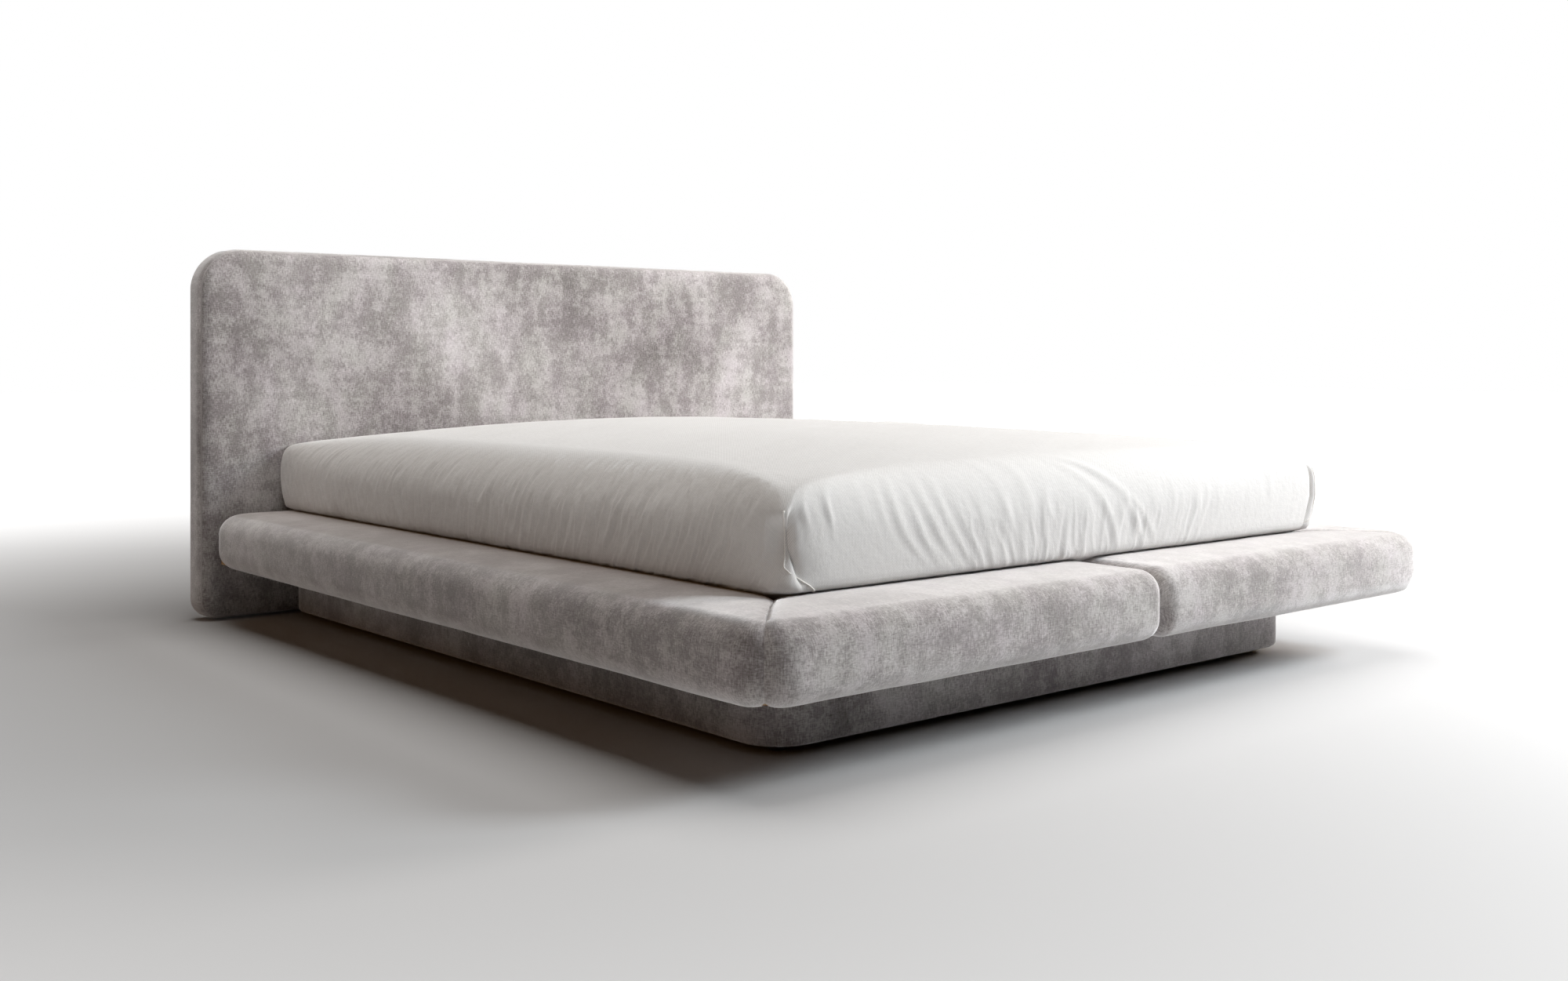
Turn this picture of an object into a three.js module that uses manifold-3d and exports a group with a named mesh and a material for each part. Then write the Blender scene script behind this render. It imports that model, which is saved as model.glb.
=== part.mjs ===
// Low upholstered platform bed with a floor-standing headboard and a mattress in a fitted sheet.
// Millimetres. +Z is up, +Y points to the headboard, and the foot faces -Y.
// The origin is on the floor under the middle of the whole bed.

import * as THREE from "three";
import { mergeVertices } from "three/addons/utils/BufferGeometryUtils.js";
import Module from "manifold-3d";

const wasm = await Module();
wasm.setup();

// Driving dimensions

const BED_LENGTH = 2325;
const HEADBOARD_WIDTH = 2008;
const HEADBOARD_TOP = 961;
const HEADBOARD_BOTTOM = 4;
const HEADBOARD_THICKNESS = 96;
const HEADBOARD_TOP_CORNER = 108;
const HEADBOARD_BOTTOM_CORNER = 52;
const HEADBOARD_EDGE = 34;
const HEADBOARD_BACK_EDGE = 18;
const HEADBOARD_CROWN = 3;
const HEADBOARD_CROWN_REACH = 300;
const HEADBOARD_WAIST = 1;
const HEADBOARD_FOAM = 40;
const HEADBOARD_SIDE_FOAM = 32;
const HEADBOARD_BACK_WRAP = 8;
const HEADBOARD_BACK_FLANGE = 70;
const HEADBOARD_GLIDE_RADIUS = 14;
const HEADBOARD_GLIDE_PLACE = 700;

const LEDGE_WIDTH = 1985;
const LEDGE_TOP = 279;
const LEDGE_BOTTOM = 142;
const LEDGE_CORNER = 90;
const LEDGE_BACK_CORNER = 105;
const LEDGE_EDGE = 46;
const LEDGE_CROWN = 4;
const LEDGE_CROWN_REACH = 98;
const LEDGE_WAIST = 2.5;
const SIDE_RAIL_WIDTH = 217;
const FOOT_RAIL_WIDTH = 227;
const SPLIT_EDGE = 36;
const SEAM_EDGE = 9;
const RECESS_EDGE = 14;
const RECESS_ROUND = 4;
const RAIL_END_ROUND = 26;
const SPLIT_INNER_ROUND = 22;
const RAIL_FOAM = 30;
const RAIL_UNDER_FOAM = 8;
const RAIL_INNER_FOAM = 8;
const RAIL_END_FOAM = 24;
const RAIL_WALL = 18;

const PLINTH_BOTTOM = 16;
const PLINTH_SIDE_INSET = 211;
const PLINTH_FOOT_INSET = 226;
const PLINTH_BACK_GAP = 10;
const PLINTH_CORNER = 88;
const PLINTH_COVER = 15;
const PLINTH_BOARD = 22;
const PLINTH_SOFT_EDGE = 12;
const PLINTH_BOARD_LIFT = 4;
const PLINTH_WRAP = 40;
const GLIDE_RADIUS = 16;
const GLIDE_PLACE = 18;

const BEARER_WIDTH = 40;
const SLAT_COUNT = 14;
const SLAT_WIDTH = 80;
const SLAT_THICKNESS = 18;
const SLAT_EDGE = 5;
const CENTRE_BEAM_WIDTH = 60;
const CENTRE_BEAM_HEIGHT = 70;
const CENTRE_LEG = 45;
const CENTRE_LEG_PLACES = [-400, 500];
const CENTRE_LEG_FOOT = 6;

const MATTRESS_BOTTOM = 256;
const MATTRESS_WIDEST = 365;
const MATTRESS_EDGE_TOP = 479;
const MATTRESS_CROWN = 26;
const MATTRESS_HALF_WIDTH = 800;
const MATTRESS_FOOT_BULGE = 48;
const MATTRESS_SIDE_BULGE = 26;
const MATTRESS_HEAD_BULGE = 8;
const MATTRESS_SHOULDER = 75;
const MATTRESS_FOOT_ROUND = 38;
const MATTRESS_HEAD_ROUND = 80;
const MATTRESS_PLAY = 2;
const SHEET_THICKNESS = 4.6;
const SHEET_TURN_UNDER = 110;

const BOLT_RADIUS = 4;
const BOLT_CLEARANCE = 0.4;
const BOLT_WASHER = { radius: 9, height: 1.6 };
const BOLT_HEAD = { radius: 7.4, height: 5.5 };
const SIDE_BOLT_PLACES = [-520, 620];
const FOOT_BOLT_PLACE = -330;
const HEAD_BOLT_PLACES = [-500, 500];
const BOLT_THREAD = 26;
const GAP = 0.4;
const BEYOND = 10;
const WELD = 1e-4;

// Places worked out from the driving dimensions

const FOOT_FACE = -BED_LENGTH / 2;
const BACK_FACE = BED_LENGTH / 2;
const HEADBOARD_FRONT = BACK_FACE - HEADBOARD_THICKNESS;
const LEDGE_OUTER = LEDGE_WIDTH / 2;
const RECESS_SIDE = LEDGE_OUTER - SIDE_RAIL_WIDTH;
const RECESS_FOOT = FOOT_FACE + FOOT_RAIL_WIDTH;
const SLAT_TOP = MATTRESS_BOTTOM - GAP;
const SLAT_BOTTOM = SLAT_TOP - SLAT_THICKNESS;
const BEARER_TOP = SLAT_BOTTOM - GAP;
const BEARER_BOTTOM = LEDGE_BOTTOM + GAP;
const BOLT_HEIGHT = (BEARER_TOP + BEARER_BOTTOM) / 2;
const PLINTH_SIDE = LEDGE_OUTER - PLINTH_SIDE_INSET;
const PLINTH_FOOT = FOOT_FACE + PLINTH_FOOT_INSET;
const PLINTH_BACK = HEADBOARD_FRONT - PLINTH_BACK_GAP;

// Finishes

const velvet = () => new THREE.MeshStandardMaterial({ color: 0x918a86, roughness: 0.85 });
const darkCloth = () => new THREE.MeshStandardMaterial({ color: 0x2f2d2c, roughness: 0.95 });
const sheetCotton = () => new THREE.MeshStandardMaterial({ color: 0xd8d5d0, roughness: 0.8 });
const ticking = () => new THREE.MeshStandardMaterial({ color: 0xe9e6df, roughness: 0.9 });
const pine = () => new THREE.MeshStandardMaterial({ color: 0xc9a877, roughness: 0.7 });
const plywood = () => new THREE.MeshStandardMaterial({ color: 0xb99468, roughness: 0.75 });
const beech = () => new THREE.MeshStandardMaterial({ color: 0xd8b98c, roughness: 0.6 });
const zincSteel = () => new THREE.MeshStandardMaterial({ color: 0xb8babd, roughness: 0.35, metalness: 1 });
const blackPlastic = () => new THREE.MeshStandardMaterial({ color: 0x1d1d1e, roughness: 0.6 });

// Joining and cutting of closed meshes

function toSolid(geometry) {
  const bare = geometry.index ? geometry.toNonIndexed() : geometry.clone();
  bare.deleteAttribute("normal");
  bare.deleteAttribute("uv");
  const merged = mergeVertices(bare, WELD);
  return new wasm.Manifold(
    new wasm.Mesh({
      numProp: 3,
      vertProperties: merged.attributes.position.array,
      triVerts: new Uint32Array(merged.index.array),
    }),
  );
}

function toGeometry(solid) {
  const { vertProperties, triVerts, numProp, numVert } = solid.getMesh();
  const positions = new Float32Array(numVert * 3);
  for (let i = 0; i < numVert; i++) {
    positions.set(vertProperties.subarray(i * numProp, i * numProp + 3), i * 3);
  }
  const geometry = new THREE.BufferGeometry();
  geometry.setAttribute("position", new THREE.BufferAttribute(positions, 3));
  geometry.setIndex(new THREE.BufferAttribute(triVerts, 1));
  geometry.computeVertexNormals();
  return geometry;
}

function cut(geometry, ...tools) {
  return toGeometry(tools.reduce((left, tool) => left.subtract(toSolid(tool)), toSolid(geometry)));
}

function keep(geometry, space) {
  return toGeometry(toSolid(geometry).intersect(toSolid(space)));
}

function join(...geometries) {
  return toGeometry(geometries.map(toSolid).reduce((sum, next) => sum.add(next)));
}

function piece(name, geometry, material) {
  const mesh = new THREE.Mesh(geometry, material);
  mesh.name = name;
  return mesh;
}

// Outlines: a convex polygon, anticlockwise seen from above, with a radius at each corner.
// The side that starts at a corner may be moved inwards by its own amount.

function crossing(normalA, offsetA, normalB, offsetB) {
  const spread = normalA.x * normalB.y - normalA.y * normalB.x;
  return new THREE.Vector2(
    (offsetA * normalB.y - offsetB * normalA.y) / spread,
    (normalA.x * offsetB - normalB.x * offsetA) / spread,
  );
}

function sideLines(corners, insets) {
  return corners.map((corner, i) => {
    const next = corners[(i + 1) % corners.length];
    const along = new THREE.Vector2(next.x - corner.x, next.y - corner.y).normalize();
    const normal = new THREE.Vector2(along.y, -along.x);
    return { normal, offset: normal.x * corner.x + normal.y * corner.y - insets[i] };
  });
}

function insetPolygon(corners, insets) {
  const lines = sideLines(corners, insets);
  return corners.map((corner, i) => {
    const before = lines[(i + corners.length - 1) % corners.length];
    return crossing(before.normal, before.offset, lines[i].normal, lines[i].offset);
  });
}

const LEAST_ROUND = 2;
const TANGENT_SHARE = 0.98;

// The radius of each corner of a ring, less where two corners would meet on a short side.
function cornerRadii(corners, insets, lines) {
  const count = corners.length;
  const polygon = insetPolygon(corners, insets);
  const slopes = lines.map((line, i) => {
    const before = lines[(i + count - 1) % count].normal;
    return Math.tan(Math.acos(THREE.MathUtils.clamp(before.dot(line.normal), -1, 1)) / 2);
  });
  const runs = corners.map((corner, i) => {
    const drawn = (insets[(i + count - 1) % count] + insets[i]) / 2;
    return Math.max(corner.round - drawn, corner.least ?? LEAST_ROUND) * slopes[i];
  });
  const shares = corners.map((corner, i) => {
    const next = (i + 1) % count;
    const side = TANGENT_SHARE * polygon[i].distanceTo(polygon[next]);
    return Math.min(1, side / (runs[i] + runs[next]));
  });
  return runs.map((run, i) => {
    const share = Math.min(shares[i], shares[(i + count - 1) % count]);
    return (run * share) / slopes[i];
  });
}

// One ring of points: each corner's arc, then the stops along the side that starts there.
function ringPoints(corners, insets) {
  const lines = sideLines(corners, insets);
  const radii = cornerRadii(corners, insets, lines);
  const points = [];
  corners.forEach((corner, i) => {
    const before = lines[(i + corners.length - 1) % corners.length];
    const line = lines[i];
    const radius = radii[i];
    const centre = crossing(before.normal, before.offset - radius, line.normal, line.offset - radius);
    const start = before.normal.angle();
    const turn = (line.normal.angle() - start + 2 * Math.PI) % (2 * Math.PI);
    for (let k = 0; k <= corner.steps; k++) {
      const angle = start + (turn * k) / corner.steps;
      const arm = new THREE.Vector2(Math.cos(angle), Math.sin(angle));
      points.push(arm.multiplyScalar(radius).add(centre));
    }
    points.push({ side: i });
  });
  return withStops(points, corners);
}

// Puts the stops of each side between the ends of its two corner arcs.
function withStops(points, corners) {
  const filled = [];
  points.forEach((point, i) => {
    if (point.side === undefined) {
      filled.push(point);
      return;
    }
    const from = points[i - 1];
    const to = points[(i + 1) % points.length];
    for (const share of corners[point.side].stops ?? []) {
      filled.push(new THREE.Vector2().lerpVectors(from, to, share));
    }
  });
  return filled;
}

// A closed skin through rings of 3-D points, with both end rings filled in.
function ringSkin(rings) {
  const count = rings[0].length;
  const positions = rings.flat().flatMap((point) => [point.x, point.y, point.z]);
  const index = [];
  for (let j = 0; j + 1 < rings.length; j++) {
    for (let i = 0; i < count; i++) {
      const a = j * count + i;
      const b = j * count + ((i + 1) % count);
      index.push(a, b, b + count, a, b + count, a + count);
    }
  }
  const lid = (ring) => {
    const flat = ring.map((point) => new THREE.Vector2(point.x, point.y));
    return THREE.ShapeUtils.triangulateShape(flat, []);
  };
  const last = (rings.length - 1) * count;
  lid(rings[0]).forEach(([a, b, c]) => index.push(a, c, b));
  lid(rings.at(-1)).forEach(([a, b, c]) => index.push(last + a, last + b, last + c));
  const geometry = new THREE.BufferGeometry();
  geometry.setAttribute("position", new THREE.Float32BufferAttribute(positions, 3));
  geometry.setIndex(index);
  geometry.computeVertexNormals();
  return geometry;
}

const CROWN_STEPS = 2;

// Padded block. Its long edges are rounded by each side's own radius, its faces swell a little
// between the edges, and its top rises to a crown.
function paddedBlock({ corners, height, crown, waist, reach, lowShare = 1, arcSteps = 4 }) {
  const largest = Math.max(...corners.map((corner) => corner.edge));
  const drawnIn = (edge, h) => {
    const low = h < height / 2;
    const radius = low ? edge * lowShare : edge;
    const depth = low ? h : height - h;
    const short = Math.max(radius - depth, 0);
    const rounding = radius - Math.sqrt(radius * radius - short * short);
    return rounding + waist * ((2 * h) / height - 1) ** 2;
  };
  const heights = [];
  for (let k = 0; k <= arcSteps; k++) {
    const rise = 1 - Math.cos((k / arcSteps) * (Math.PI / 2));
    heights.push(largest * lowShare * rise, height - largest * rise);
  }
  heights.push(height / 2);
  heights.sort((a, b) => a - b);
  const rings = heights.map((h) => {
    const ring = ringPoints(corners, corners.map((corner) => drawnIn(corner.edge, h)));
    return ring.map((p) => new THREE.Vector3(p.x, p.y, h));
  });
  for (let k = 1; k <= CROWN_STEPS; k++) {
    const share = k / CROWN_STEPS;
    const insets = corners.map((corner) => {
      const start = drawnIn(corner.edge, height);
      return start + ((corner.reach ?? reach) - start) * share;
    });
    const h = height + crown * (1 - (1 - share) ** 2);
    rings.push(ringPoints(corners, insets).map((p) => new THREE.Vector3(p.x, p.y, h)));
  }
  return ringSkin(rings);
}

function prism(points, low, high) {
  const shape = new THREE.Shape(points.map((p) => new THREE.Vector2(p.x, p.y)));
  const geometry = new THREE.ExtrudeGeometry(shape, { depth: high - low, bevelEnabled: false });
  return geometry.translate(0, 0, low);
}

function block(x0, x1, y0, y1, z0, z1) {
  const geometry = new THREE.BoxGeometry(x1 - x0, y1 - y0, z1 - z0);
  return geometry.translate((x0 + x1) / 2, (y0 + y1) / 2, (z0 + z1) / 2);
}

// Rod along an axis ("x" or "y") from one value to another, through the point given by the other two.
function rod(axis, from, to, across, z, radius, sides = 12) {
  const geometry = new THREE.CylinderGeometry(radius, radius, to - from, sides);
  const middle = (from + to) / 2;
  if (axis === "x") {
    return geometry.rotateZ(Math.PI / 2).translate(middle, across, z);
  }
  return geometry.translate(across, middle, z);
}

function boltHole(axis, from, to, across, z) {
  return rod(axis, from, to, across, z, BOLT_RADIUS + BOLT_CLEARANCE);
}

// Hexagon bolt with its washer: the shank runs from the head's face to the tip.
function bolt(axis, headFace, tip, across, z) {
  const away = Math.sign(headFace - tip);
  const length = BOLT_WASHER.height + BOLT_HEAD.height;
  const part = (from, to, radius, sides) =>
    rod(axis, Math.min(from, to), Math.max(from, to), across, z, radius, sides);
  const shank = part(tip, headFace + away, BOLT_RADIUS);
  const washer = part(headFace, headFace + away * BOLT_WASHER.height, BOLT_WASHER.radius);
  const hexagon = part(headFace + away, headFace + away * length, BOLT_HEAD.radius, 6);
  return join(shank, washer, hexagon);
}

const bed = new THREE.Group();

// Ledge: a padded rail along each side and half of the foot, with a sewn mitre at the corner.
// The outlines below are those of the left half. The right half is its mirror image.

const mitreRun = new THREE.Vector2(SIDE_RAIL_WIDTH, FOOT_RAIL_WIDTH).normalize();

// Where the mitre leaves the rounded corner of the plan.
function mitreTip() {
  const centre = new THREE.Vector2(-LEDGE_OUTER + LEDGE_CORNER, FOOT_FACE + LEDGE_CORNER);
  return centre.addScaledVector(mitreRun, -LEDGE_CORNER);
}

function mitreCorners(sideX, footY) {
  const tip = mitreTip();
  const across = new THREE.Vector2(mitreRun.y, -mitreRun.x);
  return {
    tip,
    onSide: new THREE.Vector2(sideX, tip.y + (across.y / across.x) * (sideX - tip.x)),
    onFoot: new THREE.Vector2(tip.x + (across.x / across.y) * (footY - tip.y), footY),
  };
}

const turn = mitreCorners(-LEDGE_OUTER, FOOT_FACE);
const place = (point) => ({ x: point.x, y: point.y });
const TURN_ROUND = 70;
const TURN_REACH = 214;
const RAIL_BACK = HEADBOARD_FRONT - GAP;

const sideRailOutline = [
  { x: -RECESS_SIDE, y: RAIL_BACK, round: RAIL_END_ROUND, steps: 3, edge: SPLIT_EDGE },
  { x: -LEDGE_OUTER, y: RAIL_BACK, round: LEDGE_BACK_CORNER, steps: 6, edge: LEDGE_EDGE },
  { ...place(turn.onSide), round: TURN_ROUND, steps: 4, edge: LEDGE_EDGE, reach: TURN_REACH },
  { ...place(turn.tip), round: SEAM_EDGE, steps: 3, edge: SEAM_EDGE },
  { x: -RECESS_SIDE, y: RECESS_FOOT, round: RECESS_ROUND, steps: 2, edge: RECESS_EDGE },
];

const footRailOutline = [
  { x: -GAP, y: FOOT_FACE, round: SPLIT_EDGE, steps: 5, edge: SPLIT_EDGE },
  { x: -GAP, y: RECESS_FOOT, round: SPLIT_INNER_ROUND, steps: 3, edge: RECESS_EDGE },
  { x: -RECESS_SIDE, y: RECESS_FOOT, round: RECESS_ROUND, steps: 2, edge: SEAM_EDGE },
  { ...place(turn.tip), round: SEAM_EDGE, steps: 3, edge: LEDGE_EDGE, reach: TURN_REACH },
  { ...place(turn.onFoot), round: TURN_ROUND, steps: 4, edge: LEDGE_EDGE },
];

// An inset that lets a hollow run out through the end of its rail.
const OPEN_END = -30;
const CORE_BOTTOM = LEDGE_BOTTOM + RAIL_UNDER_FOAM;
const CORE_TOP = LEDGE_TOP - RAIL_FOAM;
const sideFoam = [RAIL_END_FOAM, RAIL_FOAM, RAIL_FOAM, GAP, RAIL_INNER_FOAM];
const footFoam = [RAIL_END_FOAM, RAIL_INNER_FOAM, GAP, RAIL_FOAM, RAIL_FOAM];
// Which side of each outline is the mitre, and which is the far end.
const SIDE_MITRE = 3;
const FOOT_MITRE = 2;
const RAIL_END = 0;

function railCover(outline, foam, mitre, holes) {
  const skin = paddedBlock({
    corners: outline,
    height: LEDGE_TOP - LEDGE_BOTTOM,
    crown: LEDGE_CROWN,
    waist: LEDGE_WAIST,
    reach: LEDGE_CROWN_REACH,
  }).translate(0, 0, LEDGE_BOTTOM);
  const room = foam.map((inset, i) => (i === mitre ? OPEN_END : inset - GAP));
  const cavity = prism(insetPolygon(outline, room), CORE_BOTTOM - GAP, CORE_TOP + GAP);
  return cut(skin, cavity, ...holes);
}

// Box beam of boards, open at both ends.
function railCore(outline, foam, mitre, holes) {
  const body = prism(insetPolygon(outline, foam), CORE_BOTTOM, CORE_TOP);
  const open = [mitre, RAIL_END];
  const hollow = foam.map((inset, i) => (open.includes(i) ? OPEN_END : inset + RAIL_WALL));
  const inside = prism(insetPolygon(outline, hollow), CORE_BOTTOM + RAIL_WALL, CORE_TOP - RAIL_WALL);
  return cut(body, inside, ...holes);
}

// How far a ledge bolt's tip stands in from the rail's inner face.
const boltReach = RAIL_INNER_FOAM + RAIL_WALL + BOLT_THREAD;
const sideBearerInside = -RECESS_SIDE + GAP + BEARER_WIDTH;
const footBearerInside = RECESS_FOOT + GAP + BEARER_WIDTH;

function sideHole(y) {
  const tip = -RECESS_SIDE - boltReach - BEYOND / 2;
  return boltHole("x", tip, sideBearerInside + BEYOND, y, BOLT_HEIGHT);
}

function footHole(x) {
  const tip = RECESS_FOOT - boltReach - BEYOND / 2;
  return boltHole("y", tip, footBearerInside + BEYOND, x, BOLT_HEIGHT);
}

function sideBearer(holes) {
  const from = footBearerInside + GAP;
  const to = HEADBOARD_FRONT - 2 * GAP - BEARER_WIDTH;
  const bearer = block(-RECESS_SIDE + GAP, sideBearerInside, from, to, BEARER_BOTTOM, BEARER_TOP);
  return cut(bearer, ...holes);
}

function ledgeHalf(hand) {
  const half = new THREE.Group();
  const add = (name, geometry, material) => half.add(piece(name + "_" + hand, geometry, material));
  const sideHoles = SIDE_BOLT_PLACES.map(sideHole);
  const footHoles = [footHole(FOOT_BOLT_PLACE)];
  const sideRail = [sideRailOutline, sideFoam, SIDE_MITRE, sideHoles];
  const footRail = [footRailOutline, footFoam, FOOT_MITRE, footHoles];
  add("side_rail_cover", railCover(...sideRail), velvet());
  add("foot_rail_cover", railCover(...footRail), velvet());
  add("side_rail_core", railCore(...sideRail), plywood());
  add("foot_rail_core", railCore(...footRail), plywood());
  add("side_bearer", sideBearer(sideHoles), pine());
  SIDE_BOLT_PLACES.forEach((y, i) => {
    const made = bolt("x", sideBearerInside + GAP, -RECESS_SIDE - boltReach, y, BOLT_HEIGHT);
    half.add(piece("side_bolt_" + hand + "_" + (i + 1), made, zincSteel()));
  });
  const made = bolt("y", footBearerInside + GAP, RECESS_FOOT - boltReach, FOOT_BOLT_PLACE, BOLT_HEIGHT);
  add("foot_bolt", made, zincSteel());
  return half;
}

const leftHalf = ledgeHalf("left");
const rightHalf = ledgeHalf("right");
rightHalf.scale.x = -1;
bed.add(leftHalf, rightHalf);

// Slatted deck: cross bearers at the foot and the head, a centre beam on two legs, and the slats.

const headBoltTip = BACK_FACE - HEADBOARD_BACK_WRAP - BEYOND;
const headHoles = HEAD_BOLT_PLACES.map((x) =>
  boltHole("y", HEADBOARD_FRONT - BEARER_WIDTH - BEYOND, headBoltTip + 2 * GAP, x, BOLT_HEIGHT),
);

function addCrossBearers() {
  const reach = RECESS_SIDE - GAP;
  const footFront = RECESS_FOOT + GAP;
  const foot = block(-reach, reach, footFront, footBearerInside, BEARER_BOTTOM, BEARER_TOP);
  const footHoles = [FOOT_BOLT_PLACE, -FOOT_BOLT_PLACE].map(footHole);
  bed.add(piece("foot_bearer", cut(foot, ...footHoles), pine()));
  const headBack = HEADBOARD_FRONT - GAP;
  const head = block(-reach, reach, headBack - BEARER_WIDTH, headBack, BEARER_BOTTOM, BEARER_TOP);
  bed.add(piece("head_bearer", cut(head, ...headHoles), pine()));
}

function addCentreBeam() {
  const halfWidth = CENTRE_BEAM_WIDTH / 2;
  const from = footBearerInside + GAP;
  const to = HEADBOARD_FRONT - 2 * GAP - BEARER_WIDTH;
  const low = BEARER_TOP - CENTRE_BEAM_HEIGHT;
  bed.add(piece("centre_beam", block(-halfWidth, halfWidth, from, to, low, BEARER_TOP), pine()));
  CENTRE_LEG_PLACES.forEach((y, i) => {
    bed.add(piece("centre_leg_" + (i + 1), centreLeg(y, low - GAP), pine()));
  });
}

// Square post with a round, slightly tapered foot turned on its end.
function centreLeg(y, top) {
  const half = CENTRE_LEG / 2;
  const post = block(-half, half, y - half, y + half, CENTRE_LEG_FOOT - 1, top);
  const foot = new THREE.CylinderGeometry(half - 3, half - 5, CENTRE_LEG_FOOT, 20);
  foot.rotateX(Math.PI / 2).translate(0, y, CENTRE_LEG_FOOT / 2);
  return join(post, foot);
}

function slatGeometry() {
  const w = SLAT_WIDTH / 2;
  const t = SLAT_THICKNESS / 2;
  const corners = [
    { x: -w, y: -t },
    { x: w, y: -t },
    { x: w, y: t },
    { x: -w, y: t },
  ].map((corner) => ({ ...corner, round: SLAT_EDGE, steps: 2 }));
  const profile = new THREE.Shape(ringPoints(corners, [0, 0, 0, 0]));
  const length = 2 * (RECESS_SIDE - MATTRESS_PLAY);
  const geometry = new THREE.ExtrudeGeometry(profile, { depth: length, bevelEnabled: false });
  geometry.translate(0, 0, -length / 2);
  return geometry.rotateZ(Math.PI / 2).rotateY(Math.PI / 2);
}

function addSlats() {
  const inFromEnd = 2 * MATTRESS_PLAY + SLAT_WIDTH / 2;
  const first = RECESS_FOOT + inFromEnd;
  const last = HEADBOARD_FRONT - inFromEnd;
  for (let i = 0; i < SLAT_COUNT; i++) {
    const slat = piece("slat_" + String(i + 1).padStart(2, "0"), slatGeometry(), beech());
    const y = THREE.MathUtils.lerp(first, last, i / (SLAT_COUNT - 1));
    slat.position.set(0, y, SLAT_TOP - SLAT_THICKNESS / 2);
    bed.add(slat);
  }
}

// Plinth: four boards between quarter-round corner blocks on glides, with a padded cover
// on three sides that is sewn at the two foot corners and turned round the two back corners.

function plinthRing(inset) {
  const corner = (x, y) => ({ x, y, round: PLINTH_CORNER, steps: 8 });
  const corners = [
    corner(-PLINTH_SIDE, PLINTH_FOOT),
    corner(PLINTH_SIDE, PLINTH_FOOT),
    corner(PLINTH_SIDE, PLINTH_BACK),
    corner(-PLINTH_SIDE, PLINTH_BACK),
  ];
  return ringPoints(corners, corners.map(() => inset));
}

// The padded band all round the plinth, from which each side's cover is kept.
function plinthBand() {
  const height = LEDGE_BOTTOM - GAP - PLINTH_BOTTOM;
  const steps = 3;
  const levels = [];
  for (let k = 0; k <= steps; k++) {
    const angle = (k / steps) * (Math.PI / 2);
    levels.push({
      inset: PLINTH_SOFT_EDGE * (1 - Math.sin(angle)),
      h: PLINTH_SOFT_EDGE * (1 - Math.cos(angle)),
    });
  }
  levels.push({ inset: 0, h: height });
  const rings = levels.map(({ inset, h }) =>
    plinthRing(inset).map((p) => new THREE.Vector3(p.x, p.y, PLINTH_BOTTOM + h)),
  );
  return cut(ringSkin(rings), prism(plinthRing(PLINTH_COVER - GAP), 0, LEDGE_BOTTOM + BEYOND));
}

// Plan of the space that one side's cover takes out of the band. The mitre runs at 45 degrees.
function coverSpace(side) {
  const beyond = 60;
  const within = 400;
  const left = -PLINTH_SIDE;
  const foot = PLINTH_FOOT;
  if (side === "foot") {
    return [
      { x: left - beyond + GAP, y: foot - beyond },
      { x: -left + beyond - GAP, y: foot - beyond },
      { x: -left - within - GAP, y: foot + within },
      { x: left + within + GAP, y: foot + within },
    ];
  }
  const turned = PLINTH_CORNER + PLINTH_WRAP;
  const wrap = left + turned;
  const points = [
    { x: left - beyond, y: foot - beyond },
    { x: wrap, y: foot + turned },
    { x: wrap, y: PLINTH_BACK + beyond },
    { x: left - beyond, y: PLINTH_BACK + beyond },
  ];
  return side === "left" ? points : points.map((p) => ({ x: -p.x, y: p.y })).reverse();
}

function addPlinth() {
  const band = plinthBand();
  for (const side of ["left", "foot", "right"]) {
    const space = prism(coverSpace(side), 0, LEDGE_BOTTOM + BEYOND);
    bed.add(piece("plinth_cover_" + side, keep(band, space), velvet()));
  }
  const outer = PLINTH_SIDE - PLINTH_COVER;
  const inner = outer - PLINTH_BOARD;
  const run = PLINTH_SIDE - PLINTH_CORNER - GAP;
  const front = PLINTH_FOOT + PLINTH_COVER;
  const back = PLINTH_BACK - PLINTH_COVER;
  const low = PLINTH_BOTTOM + PLINTH_BOARD_LIFT;
  const sideFrom = PLINTH_FOOT + PLINTH_CORNER + GAP;
  const sideTo = PLINTH_BACK - PLINTH_CORNER - GAP;
  const boards = {
    plinth_board_left: block(-outer, -inner, sideFrom, sideTo, low, LEDGE_BOTTOM),
    plinth_board_right: block(inner, outer, sideFrom, sideTo, low, LEDGE_BOTTOM),
    plinth_board_foot: block(-run, run, front, front + PLINTH_BOARD, low, LEDGE_BOTTOM),
    plinth_board_head: block(-run, run, back - PLINTH_BOARD, back, low, LEDGE_BOTTOM),
  };
  for (const [name, geometry] of Object.entries(boards)) {
    bed.add(piece(name, geometry, pine()));
  }
  const places = [
    { hand: "left", end: "foot", x: -1, y: -1, quarter: 2 },
    { hand: "right", end: "foot", x: 1, y: -1, quarter: 3 },
    { hand: "right", end: "head", x: 1, y: 1, quarter: 0 },
    { hand: "left", end: "head", x: -1, y: 1, quarter: 1 },
  ];
  for (const { hand, end, x, y, quarter } of places) {
    const centreX = x * (PLINTH_SIDE - PLINTH_CORNER);
    const centreY = y < 0 ? PLINTH_FOOT + PLINTH_CORNER : PLINTH_BACK - PLINTH_CORNER;
    const name = "_" + end + "_" + hand;
    const corner = piece("plinth_corner_block" + name, cornerBlock(LEDGE_BOTTOM - low), pine());
    corner.position.set(centreX, centreY, low);
    corner.rotation.z = (quarter * Math.PI) / 2;
    bed.add(corner);
    const glide = piece("plinth_glide" + name, glideGeometry(GLIDE_RADIUS, low - GAP), blackPlastic());
    glide.position.set(centreX + x * GLIDE_PLACE, centreY + y * GLIDE_PLACE, 0);
    bed.add(glide);
  }
}

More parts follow.
